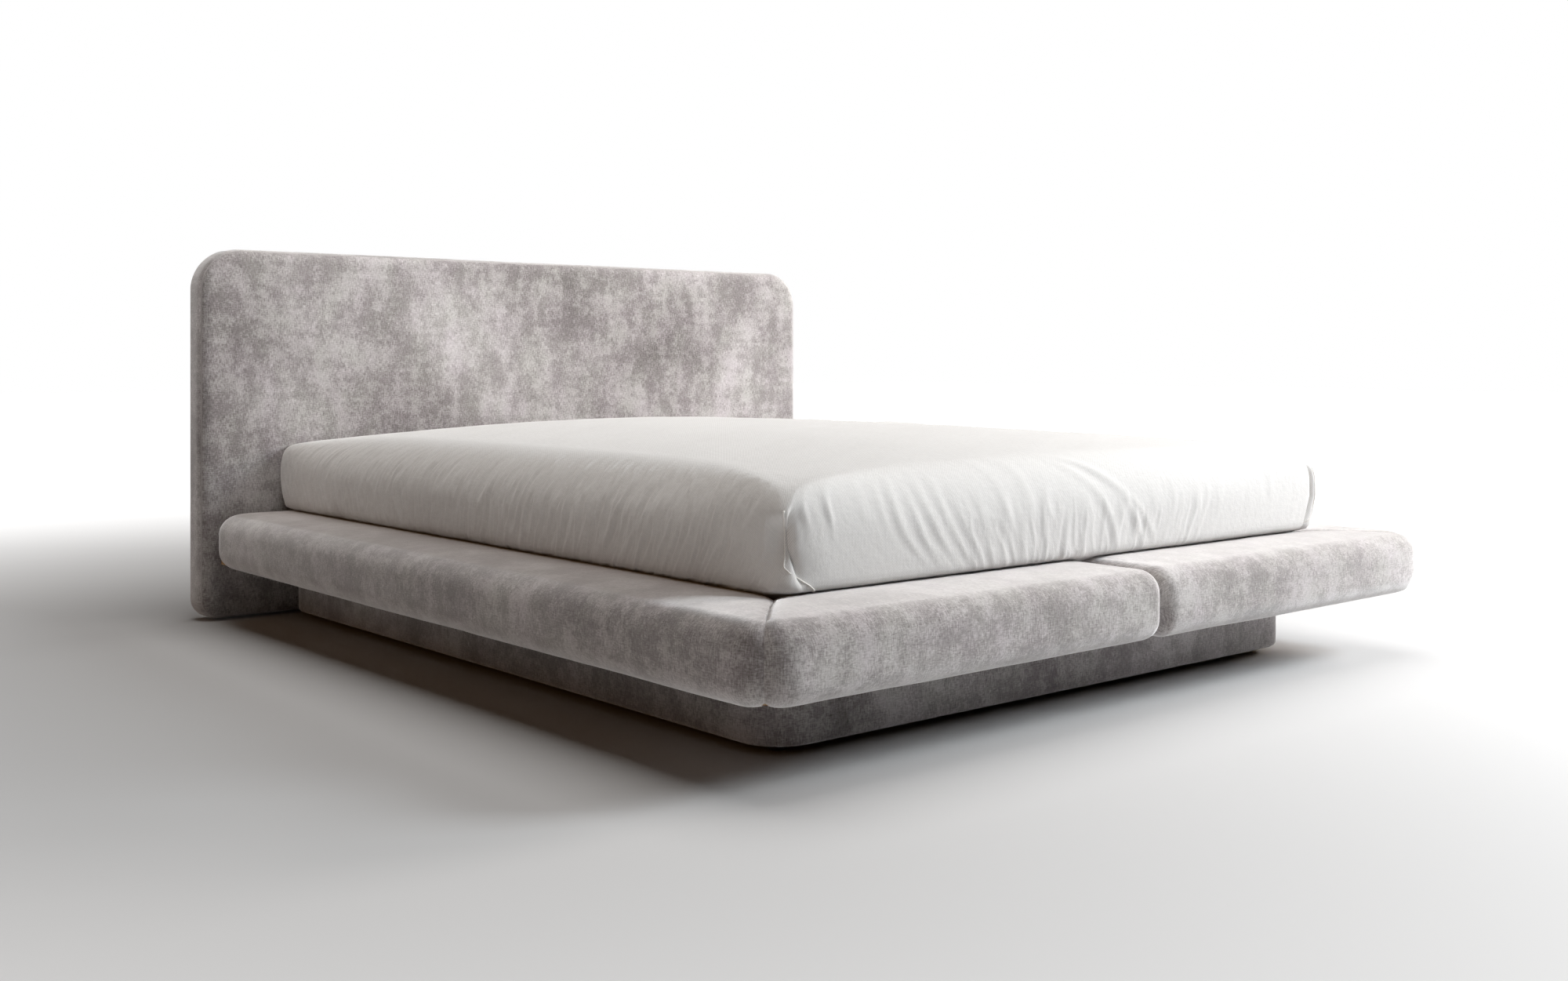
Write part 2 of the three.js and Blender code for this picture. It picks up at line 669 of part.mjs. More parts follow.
// Quarter of a round post, with its two flat faces on the axes.
function cornerBlock(height) {
  const shape = new THREE.Shape();
  const radius = PLINTH_CORNER - PLINTH_COVER;
  shape.moveTo(0, 0);
  shape.lineTo(radius, 0);
  shape.absarc(0, 0, radius, 0, Math.PI / 2, false);
  shape.lineTo(0, 0);
  return new THREE.ExtrudeGeometry(shape, { depth: height, bevelEnabled: false, curveSegments: 8 });
}

// Moulded glide: a disc with a chamfered foot.
function glideGeometry(radius, height) {
  const chamfer = Math.min(2, height / 2);
  const profile = [
    new THREE.Vector2(0, 0),
    new THREE.Vector2(radius - chamfer, 0),
    new THREE.Vector2(radius, chamfer),
    new THREE.Vector2(radius, height),
    new THREE.Vector2(0, height),
  ];
  return new THREE.LatheGeometry(profile, 20).rotateX(Math.PI / 2);
}

// Headboard: a board with a padded front, top and sides. The cover is turned over the back edge
// and a thin cloth-covered panel closes the middle of the back.

function headboardCorners() {
  const half = HEADBOARD_WIDTH / 2;
  const low = { round: HEADBOARD_BOTTOM_CORNER, steps: 5, edge: HEADBOARD_EDGE };
  const high = { round: HEADBOARD_TOP_CORNER, steps: 8, edge: HEADBOARD_EDGE };
  return [
    { x: -half, y: HEADBOARD_BOTTOM, ...low },
    { x: half, y: HEADBOARD_BOTTOM, ...low },
    { x: half, y: HEADBOARD_TOP, ...high },
    { x: -half, y: HEADBOARD_TOP, ...high },
  ];
}

// Stands a block that was drawn lying face up so that it leans on the back plane and faces the foot.
function standUp(geometry) {
  return geometry.rotateX(Math.PI / 2).translate(0, BACK_FACE, 0);
}

function headboardSlab(inset, behind, front) {
  const corners = headboardCorners();
  return standUp(prism(ringPoints(corners, corners.map(() => inset)), behind, front));
}

function addHeadboard() {
  const skin = standUp(
    paddedBlock({
      corners: headboardCorners(),
      height: HEADBOARD_THICKNESS - HEADBOARD_CROWN,
      crown: HEADBOARD_CROWN,
      waist: HEADBOARD_WAIST,
      reach: HEADBOARD_CROWN_REACH,
      lowShare: HEADBOARD_BACK_EDGE / HEADBOARD_EDGE,
    }),
  );
  const boardFront = HEADBOARD_THICKNESS - HEADBOARD_FOAM;
  const flange = HEADBOARD_SIDE_FOAM + HEADBOARD_BACK_FLANGE;
  const wrap = HEADBOARD_BACK_WRAP;
  const room = headboardSlab(HEADBOARD_SIDE_FOAM - GAP, wrap - GAP, boardFront + GAP);
  const opening = headboardSlab(flange, -BEYOND, wrap + BEYOND);
  bed.add(piece("headboard_cover", cut(skin, room, opening, ...headHoles), velvet()));
  const board = headboardSlab(HEADBOARD_SIDE_FOAM, wrap, boardFront);
  bed.add(piece("headboard_board", cut(board, ...headHoles), plywood()));
  const panel = headboardSlab(flange + 1, 0, wrap - GAP);
  bed.add(piece("headboard_back_panel", panel, darkCloth()));
  HEAD_BOLT_PLACES.forEach((x, i) => {
    const headFace = HEADBOARD_FRONT - BEARER_WIDTH - 2 * GAP;
    const made = bolt("y", headFace, headBoltTip, x, BOLT_HEIGHT);
    bed.add(piece("headboard_bolt_" + (i + 1), made, zincSteel()));
    const foot = glideGeometry(HEADBOARD_GLIDE_RADIUS, HEADBOARD_BOTTOM - GAP);
    const glide = piece("headboard_glide_" + (i + 1), foot, blackPlastic());
    glide.position.set(Math.sign(x) * HEADBOARD_GLIDE_PLACE, BACK_FACE - HEADBOARD_THICKNESS / 2, 0);
    bed.add(glide);
  });
}

// Mattress and its fitted sheet. Both follow one pillow form: sides that swell and draw in to the
// recess, a rounded shoulder, a crowned top, and corners that the sheet pulls down.

const FOLD_PITCH = 114;
const FOLD_DEPTH = 5;
const FOLD_STEPS = 28;
const FOLD_LOW = 320;
const FOLD_HIGH = 380;
const FOLD_TOP = 440;
const FOLD_END = 760;
const FOLD_FADE = 120;
const CORNER_PULL = 30;
const CORNER_REACH = 75;
const UNDER_SLOPE = 0.9;
const UNDERCUT_POWER = 1.5;
const SHOULDER_POWER = 2.4;
const CROWN_REACH = 780;
const mattressHead = HEADBOARD_FRONT - MATTRESS_PLAY;
const mattressFoot = RECESS_FOOT + MATTRESS_PLAY - MATTRESS_FOOT_BULGE;

// Heights of the rings up the side, and shares of the way in from the edge to the crown.
const sideLevels = [
  MATTRESS_BOTTOM,
  LEDGE_TOP,
  FOLD_LOW,
  MATTRESS_WIDEST,
  MATTRESS_WIDEST + 50,
  MATTRESS_EDGE_TOP - 33,
  MATTRESS_EDGE_TOP - 12,
  MATTRESS_EDGE_TOP,
];
const crownShares = [0.28, 0.62, 1];

// Stops along a side, close together near its two ends, where the corners pull the sheet.
const nearEnds = [0.04, 0.1, 0.22, 0.42, 0.58, 0.78, 0.9, 0.96];

function mattressCorners(footStops) {
  const half = MATTRESS_HALF_WIDTH;
  const foot = { round: MATTRESS_FOOT_ROUND, least: 6, steps: 4 };
  const head = { round: MATTRESS_HEAD_ROUND, least: 6, steps: 4, stops: nearEnds };
  return [
    { x: -half, y: mattressFoot, ...foot, stops: footStops },
    { x: half, y: mattressFoot, ...foot, stops: nearEnds },
    { x: half, y: mattressHead, ...head, stops: [] },
    { x: -half, y: mattressHead, ...head },
  ];
}

// How far a side stands back from its widest line at a height.
function sideInset(bulge, shoulder, z) {
  if (z < LEDGE_TOP) {
    return bulge + (LEDGE_TOP - z) * UNDER_SLOPE;
  }
  if (z < MATTRESS_WIDEST) {
    const below = (MATTRESS_WIDEST - z) / (MATTRESS_WIDEST - LEDGE_TOP);
    return bulge * below ** UNDERCUT_POWER;
  }
  const above = (z - MATTRESS_WIDEST) / (MATTRESS_EDGE_TOP - MATTRESS_WIDEST);
  return shoulder * (1 - (1 - above ** SHOULDER_POWER) ** (1 / SHOULDER_POWER));
}

function mattressInsets(z) {
  const side = sideInset(MATTRESS_SIDE_BULGE, MATTRESS_SHOULDER, z);
  return [
    sideInset(MATTRESS_FOOT_BULGE, MATTRESS_SHOULDER, z),
    side,
    sideInset(MATTRESS_HEAD_BULGE, MATTRESS_SHOULDER / 2, z),
    side,
  ];
}

// Lowers the top near the corners, where the sheet's corner seams pull it down.
function cornerPull(x, y, z) {
  const rise = THREE.MathUtils.smoothstep(z, MATTRESS_WIDEST, MATTRESS_EDGE_TOP);
  const toSide = MATTRESS_HALF_WIDTH - Math.abs(x);
  const toFoot = Math.hypot(toSide, y - mattressFoot);
  const toHead = Math.hypot(toSide, mattressHead - y);
  const near = Math.exp(-toFoot / CORNER_REACH) + Math.exp(-toHead / CORNER_REACH);
  return CORNER_PULL * rise * near;
}

// Upright gathers of the sheet along the foot, deepest half way down and gone near the corners.
function foldDepth(x, y, z) {
  const rising = THREE.MathUtils.smoothstep;
  const onFoot = rising(mattressFoot - y, -90, -40);
  const band = rising(z, LEDGE_TOP, FOLD_LOW) * (1 - rising(z, FOLD_HIGH, FOLD_TOP));
  const alongSide = 1 - rising(Math.abs(x), FOLD_END - FOLD_FADE, FOLD_END);
  const wave = (1 + Math.cos((2 * Math.PI * x) / FOLD_PITCH)) / 2;
  return FOLD_DEPTH * onFoot * band * alongSide * wave;
}

function pillowSkin({ shrink, footStops, folds }) {
  const corners = mattressCorners(footStops);
  const squeeze = 1 - (2 * shrink) / (MATTRESS_EDGE_TOP - MATTRESS_BOTTOM);
  const level = (z) => MATTRESS_BOTTOM + shrink + (z - MATTRESS_BOTTOM) * squeeze;
  const ring = (insets, z) =>
    ringPoints(corners, insets.map((inset) => inset + shrink)).map((p) => {
      const out = folds ? foldDepth(p.x, p.y, z) : 0;
      return new THREE.Vector3(p.x, p.y - out, level(z) - cornerPull(p.x, p.y, z));
    });
  const rings = sideLevels.map((z) => ring(mattressInsets(z), z));
  const shoulder = mattressInsets(MATTRESS_EDGE_TOP);
  for (const share of crownShares) {
    const insets = shoulder.map((start) => start + (CROWN_REACH - start) * share);
    rings.push(ring(insets, MATTRESS_EDGE_TOP + MATTRESS_CROWN * (1 - (1 - share) ** 2)));
  }
  return ringSkin(rings);
}

function addMattress() {
  const footStops = Array.from({ length: FOLD_STEPS - 1 }, (_, i) => (i + 1) / FOLD_STEPS);
  const outside = pillowSkin({ shrink: 0, footStops, folds: true });
  const inside = pillowSkin({ shrink: SHEET_THICKNESS, footStops: nearEnds });
  const corners = mattressCorners([]).map((corner) => ({ ...corner, stops: [] }));
  const hem = mattressInsets(MATTRESS_BOTTOM).map((inset) => inset + SHEET_TURN_UNDER);
  const through = MATTRESS_BOTTOM + SHEET_THICKNESS + BEYOND;
  const opening = prism(ringPoints(corners, hem), MATTRESS_BOTTOM - BEYOND, through);
  bed.add(piece("fitted_sheet", cut(outside, inside, opening), sheetCotton()));
  const core = pillowSkin({ shrink: SHEET_THICKNESS + GAP, footStops: nearEnds });
  bed.add(piece("mattress_core", core, ticking()));
}

addCrossBearers();
addCentreBeam();
addSlats();
addPlinth();
addHeadboard();
addMattress();

export default bed;
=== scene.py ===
# Low upholstered platform bed with a floor-standing headboard and a mattress in a fitted sheet.
# Metres. +Z is up, +Y points to the headboard, and the foot faces -Y.

import math

import bmesh
import bpy
import numpy as np
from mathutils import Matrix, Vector, noise
from mathutils.geometry import delaunay_2d_cdt, tessellate_polygon
from mathutils.kdtree import KDTree


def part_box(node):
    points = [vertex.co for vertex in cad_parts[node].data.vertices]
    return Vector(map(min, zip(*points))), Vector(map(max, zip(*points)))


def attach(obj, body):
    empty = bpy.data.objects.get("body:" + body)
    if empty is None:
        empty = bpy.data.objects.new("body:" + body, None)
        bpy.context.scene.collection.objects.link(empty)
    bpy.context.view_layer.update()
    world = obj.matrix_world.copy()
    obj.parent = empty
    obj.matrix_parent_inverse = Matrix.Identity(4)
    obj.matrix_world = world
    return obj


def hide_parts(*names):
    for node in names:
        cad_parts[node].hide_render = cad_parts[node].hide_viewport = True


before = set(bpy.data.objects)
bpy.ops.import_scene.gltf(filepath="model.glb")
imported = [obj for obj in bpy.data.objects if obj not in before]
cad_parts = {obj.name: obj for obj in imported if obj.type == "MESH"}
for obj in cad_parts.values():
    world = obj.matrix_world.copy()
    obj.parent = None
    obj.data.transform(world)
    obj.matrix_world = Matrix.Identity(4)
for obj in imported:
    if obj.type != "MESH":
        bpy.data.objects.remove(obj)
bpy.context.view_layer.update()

FRAME_BODY = "bed_frame"
MATTRESS_BODY = "mattress"


def mm(value):
    return value / 1000


# Sizes read from the frame

side_low, side_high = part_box("side_rail_cover_left")
foot_low, foot_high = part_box("foot_rail_cover_left")
board_low, board_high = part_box("headboard_cover")
plinth_low, plinth_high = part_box("plinth_cover_left")
plinth_foot_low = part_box("plinth_cover_foot")[0]
sheet_low, sheet_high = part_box("fitted_sheet")
panel_low, panel_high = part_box("headboard_back_panel")
inner_board_low, inner_board_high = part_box("headboard_board")

LEDGE_CROWN = mm(4)
LEDGE_OUTER = -side_low.x
LEDGE_BOTTOM = side_low.z
LEDGE_TOP = side_high.z - LEDGE_CROWN
RECESS_SIDE = -side_high.x
RECESS_FOOT = foot_high.y
FOOT_FACE = foot_low.y
RAIL_BACK = side_high.y
SPLIT = -foot_high.x
SIDE_RAIL_WIDTH = LEDGE_OUTER - RECESS_SIDE
FOOT_RAIL_WIDTH = RECESS_FOOT - FOOT_FACE


# Small numeric tools

def smooth(value, low, high):
    share = np.clip((value - low) / (high - low), 0, 1)
    return share * share * (3 - 2 * share)


def band(value, rise, fall):
    """1 between two ramps and 0 outside them. rise and fall are the ends of each ramp."""
    return smooth(value, *rise) * (1 - smooth(value, *fall))


def arc(centre, radius, start, end, steps):
    """Points on an arc, from angle start to angle end, in degrees."""
    angles = np.radians(np.linspace(start, end, steps + 1))
    return np.stack([centre[0] + radius * np.cos(angles), centre[1] + radius * np.sin(angles)], 1)


def quarter_turn(steps):
    """(1 - cosine, 1 - sine) at even steps of a quarter turn."""
    angles = [math.radians(90 * k / steps) for k in range(steps + 1)]
    return [(1 - math.cos(angle), 1 - math.sin(angle)) for angle in angles]


def between(first, last, shares):
    """Points on the straight line between two points, at shares of its length."""
    shares = np.asarray(shares)[:, None]
    return np.asarray(first) + (np.asarray(last) - np.asarray(first)) * shares


def crowded(count, close):
    """Shares from 0 to 1, both ends left out, that lie closer together near 1."""
    even = np.arange(1, count) / count
    return 1 - (1 - even) ** close


def both_crowded(count, close=1.5):
    """Shares from 0 to 1, both ends left out, that lie closer together near both ends."""
    even = 2 * np.arange(1, count) / count - 1
    return 0.5 + 0.5 * np.sign(even) * (1 - (1 - np.abs(even)) ** close)


def swell(points, size, seed):
    """Slow noise from -1 to 1 at each point, with lumps of about the given size."""
    shift = Vector((seed, 2 * seed, 3 * seed))
    return np.array([noise.noise(Vector(p) / size + shift) for p in points])


# Meshes

def ring_faces(ring_count, point_count):
    """Quads between rings that lie one after another, each closed on itself."""
    start = np.arange(ring_count - 1)[:, None] * point_count
    step = np.arange(point_count)[None, :]
    following = (step + 1) % point_count
    a, b = start + step, start + following
    quads = np.stack([a, b, b + point_count, a + point_count], 2)
    return quads.reshape(-1, 4).tolist()


def inside(ring, points):
    """Which points lie inside a closed ring, by counting the ring's sides that a ray crosses."""
    crossings = np.zeros(len(points), int)
    for (x0, y0), (x1, y1) in zip(ring, np.roll(ring, -1, 0)):
        between_ends = (points[:, 1] > y0) != (points[:, 1] > y1)
        if y0 != y1:
            x = x0 + (points[:, 1] - y0) * (x1 - x0) / (y1 - y0)
            crossings += between_ends & (points[:, 0] < x)
    return crossings % 2 == 1


def filled(ring, spacing, keep_off, more=None):
    """Staggered points that fill a flat ring, and the triangles over the ring's points and them."""
    low, high = ring.min(0), ring.max(0)
    across = np.arange(low[0] + spacing * 0.3, high[0], spacing)
    upwards = np.arange(low[1] + spacing * 0.5, high[1], spacing * 0.87)
    x, y = np.meshgrid(across, upwards)
    x[::2] += spacing * 0.5
    grid = np.column_stack([x.ravel(), y.ravel()])
    if more is not None:
        grid = grid[distances(more, grid) > spacing * 0.6]
        grid = np.concatenate([more, grid])
    grid = grid[inside(ring, grid)]
    grid = grid[distances(ring, grid) > keep_off]
    everything = np.concatenate([ring, grid])
    _, _, triangles, origin, _, _ = delaunay_2d_cdt(
        [Vector(p) for p in everything], [], [list(range(len(ring)))], 1, 1e-7, True)
    triangles = np.array([[origin[i][0] for i in triangle] for triangle in triangles])
    return grid, triangles[inside(ring, everything[triangles].mean(1))].tolist()


def distances(targets, points):
    """How far each point is from the nearest of the targets."""
    tree = KDTree(len(targets))
    for i, target in enumerate(targets):
        tree.insert((target[0], target[1], 0), i)
    tree.balance()
    return np.array([tree.find((p[0], p[1], 0))[2] for p in points])


def lid_faces(points, first_index, axes):
    """Triangles over one ring, seen along the axis that isn't in axes."""
    flat = [Vector((points[i][axes[0]], points[i][axes[1]], 0)) for i in range(len(points))]
    return [[first_index + i for i in face] for face in tessellate_polygon([flat])]


def offset_faces(faces, ring_start, ring_count, grid_start):
    """Faces over a ring and its filling, renumbered to where each of them lies in a mesh."""
    def renumbered(i):
        return ring_start + i if i < ring_count else grid_start + i - ring_count
    return [[renumbered(i) for i in face] for face in faces]


def new_mesh(name, points, faces):
    mesh = bpy.data.meshes.new(name)
    mesh.from_pydata([tuple(p) for p in points], [], faces)
    mesh.update()
    return mesh


def turn_outwards(mesh, merge=mm(0.02)):
    """Merges doubles and turns every face outwards."""
    work = bmesh.new()
    work.from_mesh(mesh)
    bmesh.ops.remove_doubles(work, verts=work.verts, dist=merge)
    bmesh.ops.recalc_face_normals(work, faces=work.faces)
    work.to_mesh(mesh)
    work.free()
    mesh.update()


def make_piece(name, mesh, material, body):
    """A smooth-shaded piece at the origin that rides on a body."""
    piece = bpy.data.objects.new(name, mesh)
    bpy.context.scene.collection.objects.link(piece)
    mesh.materials.clear()
    mesh.materials.append(material)
    mesh.polygons.foreach_set("use_smooth", [True] * len(mesh.polygons))
    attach(piece, body)
    return piece


def lay_map(mesh, name, places):
    """Writes a UV map from one (u, v) for each vertex."""
    layer = mesh.uv_layers.new(name=name)
    for loop in mesh.loops:
        layer.data[loop.index].uv = places[loop.vertex_index]


def points_of(mesh):
    places = np.zeros(len(mesh.vertices) * 3, np.float32)
    mesh.vertices.foreach_get("co", places)
    return places.reshape(-1, 3).astype(float)


def normals_of(mesh):
    normals = np.zeros(len(mesh.vertices) * 3, np.float32)
    mesh.vertex_normals.foreach_get("vector", normals)
    return normals.reshape(-1, 3)


def move_points(mesh, places):
    mesh.vertices.foreach_set("co", places.astype(np.float32).ravel())
    mesh.update()


def push_along_normals(mesh, amounts):
    move_points(mesh, points_of(mesh) + normals_of(mesh) * amounts[:, None])


# Materials

def linear(colour):
    """Linear RGBA from an sRGB hex value."""
    channels = [int(colour[i:i + 2], 16) / 255 for i in (1, 3, 5)]
    return [c / 12.92 if c <= 0.04045 else ((c + 0.055) / 1.055) ** 2.4 for c in channels] + [1.0]


def add(tree, kind, settings=None, inputs=None):
    """A node with its settings, and its inputs set to values or linked to sockets."""
    node = tree.nodes.new(kind)
    for key, value in (settings or {}).items():
        setattr(node, key, value)
    for key, value in (inputs or {}).items():
        if isinstance(value, bpy.types.NodeSocket):
            tree.links.new(value, node.inputs[key])
        else:
            node.inputs[key].default_value = value
    return node


def new_material(name, constants):
    """A material with one Principled shader, and constants set on the shader's own sockets."""
    material = bpy.data.materials.new(name)
    material.use_nodes = True
    tree = material.node_tree
    shader = next(n for n in tree.nodes if n.type == "BSDF_PRINCIPLED")
    for socket, value in constants.items():
        shader.inputs[socket].default_value = value
    return material, tree, shader


def ramp(tree, factor, stops):
    """A colour ramp from (place, hex colour) stops."""
    node = add(tree, "ShaderNodeValToRGB", {}, {"Fac": factor})
    elements = node.color_ramp.elements
    while len(elements) < len(stops):
        elements.new(0.5)
    for element, (place, colour) in zip(elements, stops):
        element.position = place
        element.color = linear(colour)
    return node.outputs["Color"]


def noise_node(tree, vector, size, detail, roughness):
    """Noise whose lumps have the given size along each axis, in metres."""
    scale = [1 / s for s in size]
    mapped = add(tree, "ShaderNodeMapping", {}, {"Vector": vector, "Scale": scale})
    settings = {"Vector": mapped.outputs[0], "Scale": 1.0, "Detail": detail, "Roughness": roughness}
    return add(tree, "ShaderNodeTexNoise", {}, settings)


def noise_of(tree, vector, size, detail, roughness):
    return noise_node(tree, vector, size, detail, roughness).outputs[0]


def cells(tree, vector, pitch, randomness):
    """Distance from the middle of the nearest of many cells, which lie a pitch apart."""
    settings = {"Vector": vector, "Scale": 1 / pitch, "Randomness": randomness}
    return add(tree, "ShaderNodeTexVoronoi", {}, settings).outputs["Distance"]


def mixed(tree, terms, start=0.5):
    """start plus the sum of weight times (value - 0.5) over the terms."""
    total = None
    base = start - sum(weight for _, weight in terms) / 2
    for value, weight in terms:
        previous = base if total is None else total
        total = calculated(tree, "MULTIPLY_ADD", value, weight, previous)
    return total


def object_place(tree):
    return add(tree, "ShaderNodeTexCoord").outputs["Object"]


def calculated(tree, operation, *values):
    """The result of one Math node."""
    return add(tree, "ShaderNodeMath", {"operation": operation}, dict(enumerate(values))).outputs[0]


def ranged(tree, value, source, target=(0.0, 1.0), kind="LINEAR"):
    """A value mapped from the source range to the target range, and held inside it."""
    return add(tree, "ShaderNodeMapRange", {"interpolation_type": kind},
               {0: value, 1: source[0], 2: source[1], 3: target[0], 4: target[1]}).outputs[0]


def paint(tree, shader, tone, stops):
    """Gives the shader a base colour that a ramp takes from tone."""
    tree.links.new(ramp(tree, tone, stops), shader.inputs["Base Color"])


def bump(tree, shader, height, distance, strength=1.0):
    node = add(tree, "ShaderNodeBump", {}, {"Height": height, "Distance": distance, "Strength": strength})
    tree.links.new(node.outputs[0], shader.inputs["Normal"])


# Cotton or viscose velvet, woven with a short cut pile that was brushed downwards. Pile that has
# been stroked the other way shows as paler and darker clouds; the broadest of them are placed by
# each cover's seed so that they are darker where the cover lies in shade, which is painted shade.
# The pale edges are painted sheen: seen at a grazing angle, the colour turns paler and brighter.
RIM_SHARPNESS = 4.0
RIM_STRENGTH = 0.5
PILE_SHADES = [(0.10, "#544e4d"), (0.40, "#918b8a"), (0.56, "#aca7a6"), (0.90, "#dad6d6")]
PAINTED_SHEEN_COLOUR = "#ebe7e6"
# How much the velvet's colour is scaled face-on and at a grazing view; the rise between them is painted
# sheen.
PAINTED_SHEEN_LIFT = (1.20, 1.29)


def velvet_material():
    material, tree, shader = new_material("velvet_woven_cut_pile", {
        "Roughness": 0.9,
        "Diffuse Roughness": 0.6,
        "Sheen Weight": 1.0,
        "Sheen Roughness": 0.4,
        "Specular IOR Level": 0.15,
    })
    nap = add(tree, "ShaderNodeUVMap", {"uv_map": "nap"}).outputs[0]
    threads = noise_of(tree, nap, (mm(9), mm(2.6), 1), 3.0, 0.6)
    streaks = noise_of(tree, nap, (mm(2.6), mm(13), 1), 3.0, 0.6)
    grain = noise_of(tree, nap, (mm(1.6), mm(2.0), 1), 1.0, 0.5)
    ragged = noise_node(tree, nap, (mm(7), mm(9), 1), 4.0, 0.65).outputs["Color"]
    shift = add(tree, "ShaderNodeVectorMath", {"operation": "MULTIPLY_ADD"},
                {0: ragged, 1: (mm(16), mm(22), 0), 2: nap}).outputs[0]
    clouds = noise_of(tree, shift, (mm(150), mm(210), 1), 5.0, 0.6)
    patches = noise_of(tree, shift, (mm(36), mm(74), 1), 5.0, 0.6)
    wisps = noise_of(tree, shift, (mm(62), mm(20), 1), 4.0, 0.6)
    # The broadest clouds: pile zones whose dark parts the covers' seeds place where the covers lie in
    # shade, so partly painted shade.
    pile_and_shade_zones = noise_of(tree, shift, (mm(620), mm(520), 1), 2.0, 0.5)
    hue = noise_of(tree, nap, (mm(90), mm(120), 1), 3.0, 0.6)
    torn = mixed(tree, [(patches, 0.9), (wisps, 0.5), (clouds, 0.7), (threads, 0.35), (streaks, 0.45)])
    crushed = ranged(tree, torn, (0.34, 0.68), kind="SMOOTHSTEP")
    broad = [(pile_and_shade_zones, 0.6), (clouds, 0.3), (crushed, 0.18)]
    shade = ramp(tree, mixed(tree, broad + [(streaks, 0.45), (threads, 0.4), (grain, 0.18)]), PILE_SHADES)
    tint = ramp(tree, hue, [(0.35, "#f9fbf8"), (0.65, "#fbf9fb")])
    colour = add(tree, "ShaderNodeMix", {"data_type": "RGBA", "blend_type": "MULTIPLY"},
                 {"Factor": 1.0, "A": shade, "B": tint}).outputs["Result"]
    # Painted sheen: where the surface is seen edge-on, its colour is mixed towards a pale colour.
    facing = add(tree, "ShaderNodeLayerWeight", {}, {"Blend": 0.5}).outputs["Facing"]
    rim = calculated(tree, "MULTIPLY", calculated(tree, "POWER", facing, RIM_SHARPNESS), RIM_STRENGTH)
    with_painted_sheen = add(tree, "ShaderNodeMix", {"data_type": "RGBA"},
               {"Factor": rim, "A": colour, "B": linear(PAINTED_SHEEN_COLOUR)}).outputs["Result"]
    # Painted sheen: the colour is scaled up more where the surface is seen more edge-on.
    lift = ranged(tree, facing, (0.0, 0.8), PAINTED_SHEEN_LIFT)
    sheen_brightened = add(tree, "ShaderNodeVectorMath", {"operation": "SCALE"}, {0: with_painted_sheen, "Scale": lift})
    tree.links.new(sheen_brightened.outputs[0], shader.inputs["Base Color"])
    pile = mixed(tree, [(streaks, 0.35), (threads, 0.3), (patches, 0.6)])
    bump(tree, shader, pile, mm(1.2), 0.5)
    return material


# Cotton twill: fine diagonal ribs, small creases that stay in washed cotton, and ripples that
# hang down the sides.
TWILL_PITCH = mm(3.0)


def sheet_material():
    material, tree, shader = new_material("cotton_twill_woven", {
        "Roughness": 0.85,
        "Diffuse Roughness": 0.4,
        "Sheen Weight": 0.12,
        "Sheen Roughness": 0.5,
        "Specular IOR Level": 0.25,
    })
    weave = add(tree, "ShaderNodeUVMap", {"uv_map": "weave"}).outputs[0]
    slub = noise_of(tree, weave, (mm(2.5), mm(30), 1), 2.0, 0.5)
    weft = noise_of(tree, weave, (mm(30), mm(2.5), 1), 2.0, 0.5)
    creases = noise_of(tree, weave, (mm(11), mm(14), 1), 4.0, 0.6)
    turned = add(tree, "ShaderNodeMapping", {}, {"Vector": weave, "Rotation": (0, 0, math.radians(38))})
    ribs = add(tree, "ShaderNodeTexWave", {"wave_type": "BANDS", "bands_direction": "X"}, {
        "Vector": turned.outputs[0], "Scale": 2 * math.pi / (20 * TWILL_PITCH),
        "Distortion": 1.0, "Detail": 2.0, "Detail Scale": 3.0,
    }).outputs["Fac"]
    drape = add(tree, "ShaderNodeUVMap", {"uv_map": "drape"}).outputs[0]
    hanging = noise_of(tree, drape, (mm(13), mm(95), 1), 3.0, 0.65)
    fallen = add(tree, "ShaderNodeSeparateXYZ", {}, {0: drape}).outputs[1]
    ripples = calculated(tree, "MULTIPLY", hanging, ranged(tree, fallen, (mm(5), mm(70))))
    tone = mixed(tree, [(slub, 0.25), (weft, 0.25), (creases, 0.2), (ribs, 0.52)])
    paint(tree, shader, tone, [(0.2, "#d2d0ce"), (0.8, "#e9e8e6")])
    height = mixed(tree, [(ripples, 3.4), (creases, 0.9), (slub, 0.1), (weft, 0.1)])
    bump(tree, shader, height, mm(2.2), 0.4)
    return material


# Knitted ticking over foam: ecru with small embossed quilting dimples.
def ticking_material():
    material, tree, shader = new_material("ticking_knitted", {"Roughness": 0.9, "Sheen Weight": 0.1})
    place = object_place(tree)
    knit = noise_of(tree, place, (mm(2), mm(2), mm(2)), 2.0, 0.6)
    quilt = cells(tree, place, mm(26), 0.15)
    paint(tree, shader, mixed(tree, [(knit, 0.5), (quilt, 0.4)]), [(0.2, "#d9d3c6"), (0.8, "#ede9df")])
    bump(tree, shader, mixed(tree, [(knit, 0.1), (quilt, -1.0)]), mm(2.5), 0.7)
    return material


# Spun-bonded polypropylene cloth: dark, with a fine grid of pressed dots.
def back_cloth_material():
    material, tree, shader = new_material("polypropylene_spun_bonded", {"Roughness": 0.75})
    place = object_place(tree)
    dots = cells(tree, place, mm(3), 0.0)
    fibres = noise_of(tree, place, (mm(9), mm(9), mm(2.5)), 3.0, 0.7)
    tone = mixed(tree, [(dots, 0.5), (fibres, 0.6)])
    paint(tree, shader, tone, [(0.2, "#1d1c1c"), (0.8, "#3d3b3a")])
    bump(tree, shader, tone, mm(0.3), 0.6)
    return material


